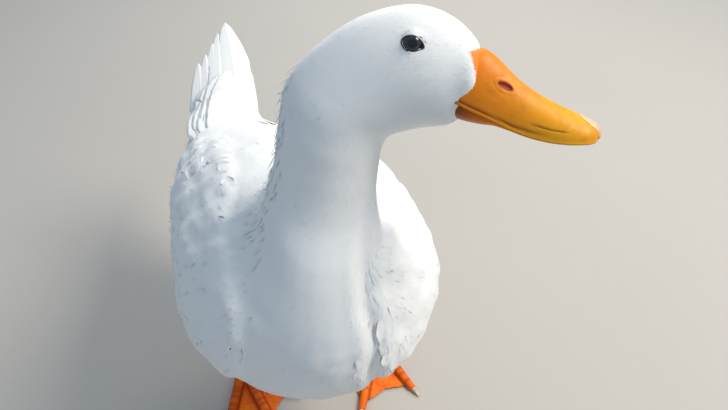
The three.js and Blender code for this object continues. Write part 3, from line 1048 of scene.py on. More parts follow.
        half = (sizes**0.5 * kind.width * MM / 2)[:, None]
        fray = 1 - rng.uniform(0.2, 1.0, (count, len(template.along))) * template.tip * kind.fray
        offset_along = (fray - 1) * (sizes * kind.length * MM)[:, None]
        across = half * template.across[None, :]
        height = kind.thick * MM * template.above[None, :] - kind.cup * across**2 / np.maximum(half, 1e-9)
        points = (
            read(centres)
            + read(side) * across[:, :, None]
            + read(above) * height[:, :, None]
            + read(ahead) * offset_along[:, :, None]
        ).reshape(-1, 3)
        size = len(template.along)
        faces = (template.faces[None] + (np.arange(count) * size)[:, None, None]).reshape(-1, 3)
        piece = object_from_arrays(name, points, faces)
        # The normals lean to the skin's, so that the coat shades as one soft surface.
        shade = unit(0.7 * read(rises) + 0.3 * read(above)).reshape(-1, 3)
        piece.data.normals_split_custom_set_from_vertices(shade)
        self.unwrap(piece, index, template, count)
        # The place along each feather; the plumage material greys its lower part as painted shade.
        set_value(piece, "Along", np.tile(template.along, count))
        return piece

    def unwrap(self, piece: Piece, index: Array, template: Template, count: int) -> None:
        """Gives every feather a small patch of the map at its root's place on the skin's unwrap.

        Args:
            piece: the coat piece.
            index: the skin point of each root.
            template: the feather's own mesh.
            count: how many feathers there are.
        """
        surface = self.surface
        along = surface.along[index]
        along = (along - along.min()) / max(float(np.ptp(along)), 1e-6)
        root = np.stack([surface.around[index] + 0.5, along], 1) * (1 - 2 * self.patch) + self.patch / 2
        local = np.stack([template.across * 0.5, template.along - 0.5], 1) * self.patch
        places = root[:, None] + local[None]
        set_map(piece, UNWRAP, np.clip(places, 0.0002, 0.9998).reshape(count * len(local), 2))


# --- bill


def closed_tube(name: str, rings: Array) -> Piece:
    """A closed object over rings of equally many points, with a fan over each end.

    Args:
        name: the object's name.
        rings: places of shape rows, columns, 3; seen along the row direction they run left to right.

    Returns:
        The new object.
    """
    faces = capped_faces(*rings.shape[:2])
    return turn_outward(object_from_arrays(name, with_ends(rings), faces))


@dataclass
class Bill:
    """Upper bill with nostrils and edge folds, the nail at its tip, and the lower bill.

    Each rib gives, in the head's measures, how far forward it is, the height of the ridge, the height
    of the upper bill's rim, half the width, and how far the lower bill reaches below the rim.
    """

    ribs: tuple[tuple[float, ...], ...] = (
        (18, -3, -24, 11, 9.5),
        (27, 0.5, -26, 15, 10),
        (35, 1.5, -28.2, 15.4, 8.6),
        (43, -1.6, -30, 14.8, 6.4),
        (50, -6, -31.8, 14, 3.6),
        (58, -10.7, -33.8, 13.8, 1.7),
        (68, -14.8, -35, 14.2, 0.1),
        (78, -17.6, -34.9, 15, -0.8),
        (87, -19.7, -33.8, 15, -1),
        (95.5, -21.8, -32.2, 13, -1),
        (100.2, -23.6, -31.2, 9.2, -1),
        (102.6, -26, -29.8, 4, -1),
    )
    arch_base: float = 0.95
    arch_tip: float = 0.8
    rows: int = 150
    arch_columns: int = 104
    wall: float = 1.5
    nostril: tuple[float, float] = (50.0, -13.0)
    nostril_size: tuple[float, float] = (3.9, 1.45)
    nostril_pitch: float = 16.0
    nail_forward: float = 99.0
    nail_size: tuple[float, float] = (9.0, 6.5)
    lower_inset: float = 2.0
    lower_rise: float = 3.4

    def sizes(self, places: Array) -> Array:
        """Forward, ridge, rim, half width and chin at places counted in ribs, as columns."""
        return smooth_line(np.array(self.ribs), places)

    def arch(self, places: Array, turns: Array, grown: float = 0.0) -> Array:
        """Points of the upper bill's outer form, in head measures.

        Args:
            places: places along the bill, counted in ribs.
            turns: turns round the arch, 0 at the left rim and pi at the right one.
            grown: how far outside the form the points lie, in mm.

        Returns:
            Points of shape places, turns, 3.
        """
        forward, ridge, rim, half, _ = self.sizes(places).T
        last = len(self.ribs) - 1
        square = self.arch_base + (self.arch_tip - self.arch_base) * np.clip(places / last, 0, 1)
        height = np.sin(turns)[None, :] ** square[:, None]
        left = (half[:, None] + grown) * np.cos(turns)[None, :]
        up = rim[:, None] + (ridge - rim + grown)[:, None] * height
        return np.stack([forward[:, None] + 0 * left, left, up], -1)

    def holds(self, measures: Array) -> Array:
        """Which of some points in head measures lie inside the bill.

        Args:
            measures: places in the head's measures, one a row.

        Returns:
            True for each place inside.
        """
        forward = np.array(self.ribs)[:, 0]
        fine = np.linspace(0, len(forward) - 1, 200)
        table = self.sizes(fine)
        at = np.interp(measures[:, 0], table[:, 0], fine)
        _, ridge, rim, half, chin = self.sizes(at).T
        share = np.clip(np.abs(measures[:, 1]) / half, 0, 1)
        top = rim + (ridge - rim) * np.sqrt(1 - share**2)
        inside = (measures[:, 2] < top) & (measures[:, 2] > rim - chin) & (share < 1)
        return inside & (measures[:, 0] > forward[0])

    def carve(self, points: Array) -> tuple[Array, Array, Array]:
        """Presses nostrils and edge folds into the outer form.

        Args:
            points: the outer grid in head measures, rows by columns.

        Returns:
            The carved points, the nostril mask, and a mask of painted shade in the folds and the gape's dark
            brown skin.
        """
        ahead = np.gradient(points, axis=0)
        round_it = np.gradient(points, axis=1)
        outward = unit(np.cross(round_it, ahead))
        outward *= np.sign((outward * (points - [0, 0, -26])).sum(-1, keepdims=True))
        pitch = math.radians(self.nostril_pitch)
        forward, up = points[..., 0], points[..., 2]
        beyond, above = forward - self.nostril[0], up - self.nostril[1]
        long_way = beyond * math.cos(pitch) - above * math.sin(pitch)
        short_way = beyond * math.sin(pitch) + above * math.cos(pitch)
        away = np.hypot(long_way / self.nostril_size[0], short_way / self.nostril_size[1])
        hole = smoothstep(away, 1.3, 1.0)
        change = -0.85 * smoothstep(away, 1.25, 0.6)
        ring = np.hypot((long_way - 0.8) / 7.6, short_way / 3.7)
        change -= 0.16 * np.exp(-(((ring - 1) / 0.1) ** 2))
        height = up - np.interp(forward, np.array(self.ribs)[:, 0], np.array(self.ribs)[:, 2])
        rear = smoothstep(forward, 20, 27) * smoothstep(forward, 80, 62)
        front = smoothstep(forward, 65, 70) * smoothstep(forward, 88, 82)
        low_line = 1.9 + 0.028 * (forward - 27)
        fold = np.exp(-(((height - low_line) / 0.5) ** 2)) * rear
        front_line = 6.7 - 0.04 * (forward - 68)
        fold += 0.9 * np.exp(-(((height - front_line) / 0.36) ** 2)) * front
        gape = np.exp(-(((forward - 25) / 3.5) ** 2) - ((height - 0.5) / 1.6) ** 2)
        lip = np.exp(-((height / 1.0) ** 2))
        change += 0.35 * lip - 0.45 * fold
        # The last mask marks painted shade in the folds and the gape's dark brown skin.
        return points + outward * change[..., None], hole, np.clip(fold + 0.9 * gape, 0, 1)

    def build_upper(self) -> Piece:
        """The upper bill: outer form, hollow under side, rounded tip.

        Returns:
            The new object, with masks of its nostrils, folds and under side.
        """
        last = len(self.ribs) - 1
        places = np.linspace(0, last, self.rows)
        turns = np.linspace(0, math.pi, self.arch_columns)
        outer, hole, fold = self.carve(self.arch(places, turns))
        back = np.linspace(math.pi, 0, 26)
        inner = self.arch(places, back, -self.wall)
        rim = self.sizes(places)[:, 2]
        roof = rim[:, None] + 0.5 + 2.6 * np.sin(back)[None, :]
        inner[..., 2] = np.minimum(inner[..., 2], roof)
        rings = np.concatenate([outer, inner], axis=1)
        middle = rings[-1].mean(axis=0)
        ends = []
        for share, forward in ((0.86, 0.5), (0.6, 1.0), (0.25, 1.25)):
            ring = middle + (rings[-1] - middle) * share
            ring[:, 0] += forward
            ends.append(ring)
        rings = np.concatenate([rings, np.array(ends)], axis=0)
        piece = closed_tube("upper_bill", HEAD.place(rings))

        def over_all(mask: Array) -> Array:
            """A mask over the whole mesh, zero where the outer form ends."""
            whole = np.zeros(rings.shape[:2])
            whole[: len(places), : self.arch_columns] = mask
            return np.append(whole.ravel(), [0.0, 0.0])

        under = np.ones(rings.shape[:2])
        under[:, : self.arch_columns] = 0
        set_value(piece, "Hole", over_all(hole))
        set_value(piece, "FoldShadeAndGape", over_all(fold))
        set_value(piece, "Under", np.append(under.ravel(), [0.0, 0.0]))
        return piece

    def build_nail(self) -> Piece:
        """The nail: a low shield laid over the tip of the upper bill.

        Returns:
            The new object.
        """
        table = self.sizes(np.linspace(0, len(self.ribs) - 1, 600))
        long_way, wide = self.nail_size
        forwards = np.linspace(self.nail_forward - long_way, 102.7, 34)
        away = np.clip((forwards - self.nail_forward) / long_way, -1, 1)
        wide_here = wide * np.sqrt(np.clip(1 - away**2, 0.002, 1))
        columns = np.linspace(-1, 1, 27)
        places = np.interp(forwards, table[:, 0], np.linspace(0, len(self.ribs) - 1, 600))
        half = self.sizes(places)[:, 3]
        share = np.clip(columns[None, :] * (wide_here / half)[:, None], -0.995, 0.995)
        turns = np.arccos(share)
        edge = 1 - np.maximum(np.abs(columns)[None, :], np.abs(away)[:, None] ** 1.5) ** 4
        top = np.array([self.arch(places[k : k + 1], turns[k])[0] for k in range(len(places))])
        lower = top.copy()
        outward = unit(top - np.stack([top[..., 0] - 3, 0 * top[..., 1], 0 * top[..., 2] - 29], -1))
        top = top + outward * (0.15 + 0.45 * edge)[..., None]
        lower = lower - outward * 0.8
        rings = np.concatenate([top, lower[:, ::-1]], axis=1)
        return closed_tube("bill_nail_shield", HEAD.place(rings))

    def build_lower(self) -> Piece:
        """The lower bill, in the hollow of the upper one and full at its base.

        Returns:
            The new object.
        """
        places = np.linspace(1, 10.3, 90)
        forward, _, rim, half, chin = self.sizes(places).T
        turns = np.linspace(0, 2 * math.pi, 49)[:-1]
        up = np.sin(turns)[None, :]
        level = np.where(chin < 0.6, 0.6 - chin, 0.0)
        end = np.sqrt(np.clip((places[-1] - places) / 0.5, 0.02, 1))
        radius = np.where(up > 0, self.lower_rise, np.maximum(chin, 0.6)[:, None]) * end[:, None]
        squash = np.abs(up) ** 0.85 * np.sign(up)
        left = ((half - self.lower_inset) * end)[:, None] * np.cos(turns)[None, :]
        rings = np.stack(
            [forward[:, None] + 0 * left, left, (rim + level)[:, None] + radius * squash], -1
        )
        return closed_tube("lower_bill", HEAD.place(rings))


# --- eyes and lids


@dataclass
class Eyes:
    """Both eyeballs with a raised cornea, and the lids round them.

    Each row of a lid has its kind, how far outside the opening it runs, and how bare it is.
    """

    radius: float = 5.8
    left: float = 15.6
    up: float = -1.2
    cornea: float = 0.4
    gaze_forward: float = 0.12
    gaze_up: float = 0.05
    opening: tuple[float, float] = (4.65, 3.55)
    corner: float = 1.5
    lid_rows: tuple[tuple[str, float, float], ...] = (
        ("in", -0.1, 1.0),
        ("ball", 0.0, 1.0),
        ("lip", 0.12, 1.0),
        ("lip", 0.42, 0.9),
        ("slope", 0.8, 0.45),
        ("skin", 1.4, 0.0),
        ("deep", 1.5, 0.0),
    )

    def centre(self, sign: int) -> Array:
        """An eye's centre in head measures; sign is 1 for the left eye."""
        return np.array([0.0, sign * self.left, self.up])

    def gaze(self, sign: int) -> Array:
        """Where an eye looks, in the head's axes."""
        return unit(np.array([self.gaze_forward, sign, self.gaze_up]))

    def outline(self, turns: Array) -> Array:
        """The lids' opening round the eye's centre: forward and up, drawn out to a front corner."""
        long_way, high = self.opening
        front = np.clip(np.cos(turns), 0, 1) ** 6
        rear = np.clip(-np.cos(turns), 0, 1) ** 8
        forward = long_way * np.cos(turns) + self.corner * front - 0.3 * rear
        up = high * np.sin(turns) * (1 - 0.1 * front) - 0.55 * front
        return np.stack([forward, up], -1)

    def build_ball(self, name: str, sign: int) -> Piece:
        """One eyeball, its poles on the line of sight.

        Args:
            name: the piece's name.
            sign: 1 for the left eye, -1 for the right one.

        Returns:
            The new object.
        """
        deselect_all()
        bpy.ops.mesh.primitive_uv_sphere_add(segments=56, ring_count=40, radius=self.radius * MM)
        ball = bpy.context.active_object
        ball.name = name
        points = points_of(ball) / MM
        near = smoothstep(points[:, 2] / self.radius, 0.62, 0.95)
        points[:, 2] += self.cornea * near
        set_value(ball, "Ring", np.hypot(points[:, 0], points[:, 1]) * np.sign(points[:, 2]))
        sight = self.gaze(sign)
        side = unit(np.cross([0, 0, 1], sight))
        over = np.cross(sight, side)
        measures = self.centre(sign) + points @ np.array([side, over, sight])
        move_points(ball, HEAD.place(measures))
        ball.data.shade_smooth()
        return ball

    def build_lids(self, name: str, sign: int, skin: BVHTree) -> Piece:
        """The lids of one eye: a closed ring from the eyeball out into the skin.

        Args:
            name: the piece's name.
            sign: 1 for the left eye, -1 for the right one.
            skin: the skin to look up.

        Returns:
            The new object.
        """
        turns = np.linspace(0, 2 * math.pi, 97)[:-1]
        edge = self.outline(turns)
        outward = unit(edge)
        corner = np.clip(np.cos(turns), 0, 1)[:, None] ** 8
        sight = self.centre(sign)
        heads = []
        for kind, out, _ in self.lid_rows:
            flat = edge + outward * (out - (1.9 * corner if kind == "in" else 0))
            ball = np.sqrt(np.maximum(self.radius**2 - (flat**2).sum(axis=1), 0.0))
            under = np.array([self.skin_height(sign, f, u, skin) for f, u in flat])
            level = np.maximum(ball, under - 0.45 + 0.75 * corner[:, 0])
            rise = {
                "in": level - 0.35,
                "ball": level + 0.05,
                "lip": np.maximum(level + 0.35, under + 0.2),
                "slope": np.maximum(level, under) + 0.1,
                "skin": np.maximum(level, under) - 0.35,
                "deep": np.minimum(under, level) - 1.4,
            }[kind]
            forward, up = sight[0] + flat[:, 0], sight[2] + flat[:, 1]
            heads.append(np.stack([forward, sign * (self.left + rise), up], -1))
        rings = HEAD.place(np.array(heads).transpose(1, 0, 2))
        rows, columns, _ = rings.shape
        faces = tube_faces(rows + 1, columns) % (rows * columns)
        piece = turn_outward(object_from_arrays(name, rings.reshape(-1, 3), faces))
        set_value(piece, "Bare", np.tile([bare for _, _, bare in self.lid_rows], len(turns)))
        return piece

    def skin_height(self, sign: int, forward: float, up: float, skin: BVHTree) -> float:
        """How far outside the eye's centre the skin lies at a place beside it, in mm."""
        start = HEAD.place(np.array([forward, sign * (self.left + 30), self.up + up]))
        inward = -sign * HEAD.axes()[1]
        hit = skin.ray_cast(Vector(start), Vector(inward), 0.06)[0]
        if hit is None:
            return 0.0
        return float(abs(HEAD.measure(np.array(hit))[1]) - self.left)


@dataclass
class KeepOut:
    """The bare places that the coat leaves free: both eye openings and the bill."""

    eyes: Eyes
    bill: Bill

    def eye_gap(self, measures: Array) -> Array:
        """How far places in head measures are from an eye's centre, as a share of the opening."""
        across = np.abs(measures[:, 1]) > 9
        long_way, high = self.eyes.opening
        forward = measures[:, 0]
        long_here = np.where(forward > 0, long_way + 0.75 * self.eyes.corner, long_way)
        gap = np.hypot(forward / long_here, (measures[:, 2] - self.eyes.up) / high)
        return np.where(across, gap, 99.0)

    def shortening(self, places: Array) -> Array:
        """How much shorter feathers are near the eyes and the bill, from 0 to 1."""
        measures = HEAD.measure(places)
        near_eye = 0.45 + 0.55 * smoothstep(self.eye_gap(measures), 1.2, 3.0)
        near_bill = 0.55 + 0.45 * smoothstep(measures[:, 0], 34, 18)
        return near_eye * near_bill

    def clear(self, line: Array) -> Array:
        """Which feather lines pass clear of every bare place."""
        good = np.ones(len(line), bool)
        for step in range(line.shape[1]):
            measures = HEAD.measure(line[:, step])
            good &= (self.eye_gap(measures) > 1.1) & (bill_corner(measures, 0.0) < 0.5)
        return good & ~self.bill.holds(HEAD.measure(line[:, 0]))


# --- legs


@dataclass
class Leg:
    """One leg from the hock down: shank, webbed foot and claws, smoothed from the CAD solids.

    The foot's place and its toes' directions, in body measures and degrees, place scutes and creases.
    """

    name: str
    foot: tuple[float, float]
    toes: tuple[float, ...]
    toe_lengths: tuple[float, ...] = (58.0, 79.0, 66.0)
    voxel: float = 0.9 * MM
    scute: float = 2.7
    scute_height: float = 0.24

    def toe_measures(self, points: Array) -> tuple[Array, Array]:
        """How far along the nearest toe, and how far beside it, each point lies, in mm.

        Args:
            points: places in metres, one a row.

        Returns:
            The two distances.
        """
        body = body_measure(points)
        flat = body[:, :2] - np.array(self.foot)
        along = np.zeros(len(points))
        beside = np.full(len(points), 99.0)
        for angle, length in zip(self.toes, self.toe_lengths):
            heading = np.array([math.cos(math.radians(angle)), math.sin(math.radians(angle))])
            reach = np.clip(flat @ heading, 0, length)
            gap = np.linalg.norm(flat - reach[:, None] * heading, axis=1)
            closer = gap < beside
            along[closer], beside[closer] = reach[closer], gap[closer]
        return along, beside

    def build_foot(self) -> Piece:
        """The foot with raised scutes along the toes and creases beside them.

        Returns:
            The new object.
        """
        foot = remeshed(copy_of_nodes(f"foot_skin_{self.name}", (f"foot_{self.name}",)), self.voxel, 4)
        points, normals = points_of(foot), normals_of(foot)
        along, beside = self.toe_measures(points)
        on_toe = smoothstep(beside, 5.0, 2.6) * smoothstep(normals[:, 2], 0.0, 0.5)
        ridge = np.abs(np.sin(along * math.pi / self.scute)) ** 0.6
        web = smoothstep(beside, 4.5, 8) * smoothstep(normals[:, 2], 0.2, 0.7)
        wrinkle = waves(points * [1, 1, 0], 5 * MM, 8) * 0.16 + waves(points, 2.4 * MM, 9) * 0.07
        height = on_toe * self.scute_height * (ridge - 0.5) + web * wrinkle
        joint = np.zeros(len(points))
        for length in self.toe_lengths:
            for share in (0.42, 0.72):
                joint = np.maximum(joint, np.exp(-(((along - share * length) / 2.2) ** 2)))
        height -= on_toe * joint * 0.25
        above_sole = smoothstep(points[:, 2], 0.4 * MM, 1.6 * MM)
        points = points + normals * (height * above_sole * MM)[:, None]
        points[:, 2] = np.maximum(points[:, 2], 0.0)
        move_points(foot, points)
        # Redder skin with painted shade beside the toes and at the knuckles, and redder skin on the web's
        # raised wrinkles.
        crease_red_and_shade = np.exp(-(((beside - 4.9) / 1.3) ** 2)) + 0.7 * joint * on_toe
        set_value(foot, "CreaseRedAndShade", np.clip(crease_red_and_shade + 0.25 * np.clip(wrinkle * 6, 0, 1) * web, 0, 1))
        return foot

    def build_shank(self) -> Piece:
        """The shank with overlapping scutes in front and small scales behind.

        Returns:
            The new object.
        """
        node = f"shank_{self.name}"
        shank = remeshed(copy_of_nodes(f"{node}_skin", (node,)), self.voxel, 5)
        points, normals = points_of(shank), normals_of(shank)
        turn = np.abs(np.sin(points[:, 2] / MM * math.pi / 3.4)) ** 0.5
        front = smoothstep(-normals[:, 1], -0.2, 0.5)
        height = front * 0.4 * (turn - 0.6) + (1 - front) * 0.16 * waves(points, 3 * MM, 12)
        move_points(shank, points + normals * (height * MM)[:, None])
        # Redder skin with painted shade in the grooves between the front scutes.
        set_value(shank, "CreaseRedAndShade", np.clip(front * (1 - turn) * 0.9, 0, 1))
        return shank

    def build_claw(self, number: int) -> Piece:
        """One claw, rounded from its CAD solid and ridged along its top.

        Args:
            number: which claw, from 1 to 4.

        Returns:
            The new object.
        """
        node = f"claw_{self.name}_{number}"
        claw = copy_of_nodes(f"{node}_horn", (node,))
        apply_modifier(claw, "SUBSURF", levels=2, render_levels=2)
        points = points_of(claw)
        middle = points.mean(axis=0)
        points = middle + (points - middle) * 1.12
        points[:, 2] = np.maximum(points[:, 2], 0.1 * MM)
        points[:, 2] += 0.18 * MM * smoothstep(points[:, 2], middle[2], middle[2] + 2 * MM)
        move_points(claw, points)
        claw.data.shade_smooth()
        return claw


# --- long feathers


@dataclass(frozen=True)
class LongFeather:
    """One long feather's line and size: places and upward directions along it, and its width in mm."""

    line: Array
    upward: Array
    width: float
    pointed: float = 5.0
    cup: float = 0.14
    thick: float = 0.45
    lean: float = 0.0
    shaft: float = 0.55


@dataclass
class LongFeathers:
    """Joins long feathers into one mesh, each with a shaft, two webs and lightly frayed edges."""

    rows: int = 26
    side: tuple[float, ...] = (-1, -0.82, -0.6, -0.38, -0.18, -0.05, 0, 0.05, 0.18, 0.38, 0.6, 0.82, 1)

    def shape(self, feather: LongFeather, rng: np.random.Generator) -> Array:
        """The closed rings of one feather, upper side then under side.

        Args:
            feather: the feather's line and size.
            rng: the random source.

        Returns:
            Places of shape rows, columns, 3.
        """
        at = np.linspace(0, 1, self.rows)
        steps = np.linspace(0, 1, len(feather.line))
        line = smooth_line(feather.line, at * (len(steps) - 1))
        upward = unit(smooth_line(feather.upward, at * (len(steps) - 1)))
        ahead = unit(np.gradient(line, axis=0))
        across = unit(np.cross(upward, ahead))
        upward = np.cross(ahead, across)
        side = np.array(self.side)
        half = feather.width / 2 * (0.35 + 0.65 * smoothstep(at, 0, 0.35))
        half = half * np.clip(1 - at**feather.pointed, 0.0004, 1) ** 0.7
        notch = np.zeros((self.rows, len(side)))
        for edge in (0, -1):
            track = np.stack([at * 9, at * 0 + rng.random() * 9, at * 0], 1)
            rough = waves(track, 1.3, int(rng.integers(99)))
            split = np.exp(-(((at - rng.uniform(0.45, 0.9)) / 0.02) ** 2)) * rng.uniform(0, 0.3)
            notch[:, edge] = 0.035 * rough - split
        web = side[None, :] * (1 + notch) + feather.lean * (1 - side[None, :] ** 2)
        offset = web * half[:, None]
        shaft = feather.shaft * np.exp(-((side / 0.06) ** 2))[None, :] * (1 - at[:, None]) ** 0.4
        thick = feather.thick * (1 - 0.75 * side[None, :] ** 2)
        drop = feather.cup * side[None, :] ** 2 * half[:, None] * (1 + 0.12 * rng.normal())
        rings = []
        for sign in (1, -1):
            height = sign * thick / 2 + (shaft if sign > 0 else 0) - drop
            rings.append(
                line[:, None]
                + across[:, None] * (offset * MM)[..., None]
                + upward[:, None] * (height * MM)[..., None]
            )
        return np.concatenate([rings[0], rings[1][:, ::-1]], axis=1)

    def build(self, name: str, feathers: list[LongFeather], seed: int) -> Piece:
        """Makes one piece of many long feathers.

        Args:
            name: the piece's name.
            feathers: the feathers, in the order in which they lie.
            seed: picks the small differences between them.

        Returns:
            The new object, with its vane map and unwrap.
        """
        rng = np.random.default_rng(SEED + seed)
        columns = 2 * len(self.side)
        size = self.rows * columns + 2
        all_points, all_faces, vane, unwrap = [], [], [], []
        faces = capped_faces(self.rows, columns)
        wide = len(self.side)
        across = np.concatenate([np.linspace(0, 1, wide), np.linspace(1, 0, wide)])
        half_map = np.concatenate([np.linspace(0, 0.48, wide), np.linspace(0.52, 1, wide)])
        at = np.linspace(0, 1, self.rows)
        for number, feather in enumerate(feathers):
            all_points.append(with_ends(self.shape(feather, rng)))
            all_faces.append(faces + number * size)
            grid = np.stack(np.meshgrid(at, across, indexing="ij"), -1).reshape(-1, 2)[:, ::-1]
            vane.append(np.vstack([grid, [[0.5, 0], [0.5, 1]]]))
            strip = np.stack(np.meshgrid(at, half_map, indexing="ij"), -1).reshape(-1, 2)[:, ::-1]
            strip = np.vstack([strip, [[0.5, 0], [0.5, 1]]]) * 0.96 + 0.02
            unwrap.append(np.stack([(number + strip[:, 0]) / len(feathers), strip[:, 1]], 1))
        piece = turn_outward(object_from_arrays(name, np.vstack(all_points), np.vstack(all_faces)))
        set_map(piece, "Vane", np.vstack(vane))
        set_map(piece, UNWRAP, np.vstack(unwrap))
        # The place along each feather; the plumage material greys its lower part as painted shade.
        set_value(piece, "Along", np.concatenate([v[:, 1] for v in vane]))
        return piece


@dataclass
class Tail:
    """The raised tail, in body measures: long feathers fanned to both sides, and coverts on their roots."""

    forward: float = -148.0
    left: float = -46.0
    up: float = 197.0
    length: float = 136.0
    rise: float = 32.0
    swing: float = 13.0
    pairs: int = 4
    outward: float = 5.1
    angle: float = 0.95
    lower: float = 1.6
    shorter: float = 9.0
    hidden: float = 15.0
    width: float = 25.0
    broad_width: float = 44.0
    broad_shift: float = 15.0
    covert_width: float = 25.0

    def axis(self, place: float) -> tuple[Array, Array]:
        """The root and heading of the feather at a place counted from the middle, left positive."""
        turn = math.radians(self.swing + place * self.angle)
        rise = math.radians(self.rise - abs(place) * 0.5)
        across = place * self.outward
        root = np.array([self.forward, self.left + across, self.up - abs(place) * self.lower])
        heading = [-math.cos(turn) * math.cos(rise), math.sin(turn) * math.cos(rise), math.sin(rise)]
        return root, np.array(heading)

    def feather(self, place: int, rng: np.random.Generator) -> LongFeather:
        """The long feather at a place.

        Args:
            place: its place, counted from the middle.
            rng: the random source.

        Returns:
            The feather.
        """
        root, heading = self.axis(place + 0.15 * rng.normal())
        shorter = self.hidden if place > 0 else self.shorter
        reach = self.length - abs(place) * shorter + rng.normal() * (1.5 if place else 0)
        steps = np.linspace(0, 1, 6)
        bow = np.array([0.1, 0, 1.0]) * reach
        line = root + steps[:, None] * heading * reach - np.outer(0.045 * np.sin(steps * math.pi), bow)
        if place == 0:
            line[:, 1] += self.broad_shift * (1 - steps**2.2)
        face = unit(np.array([0.5, place * 0.05, 1.0]))
        return LongFeather(
            body_place(line),
            np.tile(body_direction(face), (6, 1)),
            (self.width if place else self.broad_width) * (1 + 0.05 * rng.normal()),
            pointed=3.0,
            cup=0.13,
            lean=0.12 * np.sign(place),
            shaft=0.4,
        )

    def covert(self, place: float, upper: bool, share: float, rng: np.random.Generator) -> LongFeather:
        """A short feather over or under the long ones' roots; share draws it towards the rump.

        Args:
            place: its place, counted from the middle.
            upper: whether it lies on top.
            share: how much of its full length it has.
            rng: the random source.

        Returns:
            The feather.
        """
        root, heading = self.axis(place * 0.92)
        middle = self.axis(0)[0]
        away = abs(place)
        if upper:
            starts = np.array([[-128, 0, 214 - 1.6 * away], [-152, 0, 219.5 - 1.4 * away]])
            reaches, rises = (45, 60, 76), (4.5, 3.4, 2.6)
        else:
            starts = np.array([[-172, 0, 192], [-186, 0, 203]])
            reaches, rises = (52, 68, 84), (-7.5, -4.6, -3.0)
        starts[:, 1] = middle[1] + place * self.outward * np.array([1.2, 1.28]) + np.array([4.0, 2.0])
        reaches = np.array(reaches) * (1 - 0.05 * away)
        ends = [root + heading * reach + np.array([0, 0, rise]) for reach, rise in zip(reaches, rises)]
        line = np.vstack([starts, ends])
        line = smooth_line(line, np.linspace(0, 4 * share, 7)) + rng.normal(size=3) * [0, 0.6, 0.3]
        face = unit(np.array([0.45, place * 0.07, 1.0]))
        facing = np.tile(body_direction(face), (7, 1))
        width = self.covert_width * (1 + 0.08 * rng.normal())
        return LongFeather(body_place(line), facing, width, pointed=5.0, cup=0.07, thick=0.16, shaft=0.1)

    def build(self) -> Piece:
        """The whole fan, outermost feathers first and lowest, then the coverts.

        Returns:
            The new object.
        """
        rng = np.random.default_rng(SEED)
        places = sorted(range(-self.pairs, self.pairs + 1), key=lambda place: -abs(place))
        feathers = [self.feather(place, rng) for place in places]
        for upper in (False, True):
            for share in (1.0, 0.86, 0.72):
                low, high = (-3.1, 4.4) if upper else (-1.8, 3.0)
                spots = np.linspace(low, high, 8) + rng.normal(size=8) * 0.12
                feathers += [self.covert(float(spot), upper, share, rng) for spot in spots]
        return LongFeathers().build("tail_feathers", feathers, 5)


@dataclass
class WingFeathers:
    """The long feathers of one wing: those that lie on it, and the ends that stand out behind."""

    name: str
    sign: int
    surface: Surface
    tip: tuple[float, float, float]
    root: tuple[float, float, float] = (-74.0, 58.0, 232.0)
    root_left: float = -10.0
    blades: int = 4
    across: float = 5.6
    sink: float = 0.6
    shorter: float = 7.5
    blade_width: float = 19.0
    rows_of_flight: tuple[tuple[float, float, float, float, int], ...] = (
        (-10.0, 262.0, 92.0, 26.0, 4),
        (-4.0, 232.0, 96.0, 25.0, 4),
        (4.0, 196.0, 92.0, 23.0, 4),
    )

    def ends(self) -> list[LongFeather]:
        """The long feathers of the wing's end, each lying under the one before.

        Returns:
            The feathers, the lowest first.
        """
        face = unit(np.array([-0.2, self.sign * 0.7, 0.68]))
        root = np.array([self.root[0], self.root_left + self.sign * self.root[1], self.root[2]])
        tip = np.array(self.tip)
        along = unit(tip - root)
        across = unit(np.cross(along, face))
        across *= np.sign(across[2]) * -1
        found = []
        for count in range(self.blades):
            shift = across * self.across * count - face * self.sink * count
            end = tip + shift - along * self.shorter * count
            steps = np.linspace(0, 1, 5)[:, None]
            line = (root + shift) * (1 - steps) + end * steps
            line -= np.sin(steps * math.pi) * face * 1.5
            found.append(
                LongFeather(
                    body_place(line), np.tile(body_direction(face), (5, 1)), self.blade_width, pointed=4.0
                )
            )
        return found[::-1]

    def laid(self, forward: float, up: float, length: float, width: float, lift: float) -> LongFeather:
        """A long feather laid on the wing's skin from a root given by its side view.

        Args:
            forward: how far forward the root is, in mm.
            up: how high it is, in mm.
            length: the feather's length in mm.
            width: its width in mm.
            lift: how far it rises off the skin, in mm.

        Returns:
            The feather.
        """
        surface = self.surface
        body = body_measure(surface.points)
        gap = np.hypot(body[:, 0] - forward, body[:, 2] - up) + 200 * (self.sign * body[:, 1] < 0)
        gap = gap - 0.15 * self.sign * body[:, 1]
        index = np.array([int(gap.argmin())])
        places = surface.points[index]
        line, upward = [], []
        steps = 9
        for step in range(steps + 1):
            rise = (-1.5 + lift * math.sin(min(1.0, step / 5) * math.pi / 2)) * MM
            line.append(places[0] + surface.normals[index[0]] * rise)
            upward.append(surface.normals[index[0]])
            heading = surface.lie[index] * (length / steps * MM)
            index, places = surface.slide(index, places, heading)
        line = np.array(line)
        for _ in range(3):
            line[1:-1] = (line[:-2] + 2 * line[1:-1] + line[2:]) / 4
        return LongFeather(line, np.array(upward), width, pointed=6.0, cup=0.1)

    def build(self) -> Piece:
        """All long feathers of this wing as one piece."""
        feathers = []
        for forward, up, length, width, count in self.rows_of_flight[::-1]:
            for number in range(count):
                part = number / (count - 1)
                place = (forward - 16 * part - 6, up - 22 * part + 10)
                feathers.append(self.laid(*place, length - 6 * part, width, 1.25 - 0.2 * part))
        return LongFeathers().build(f"wing_feathers_{self.name}", self.ends() + feathers, 7 + self.sign)


# --- finishes


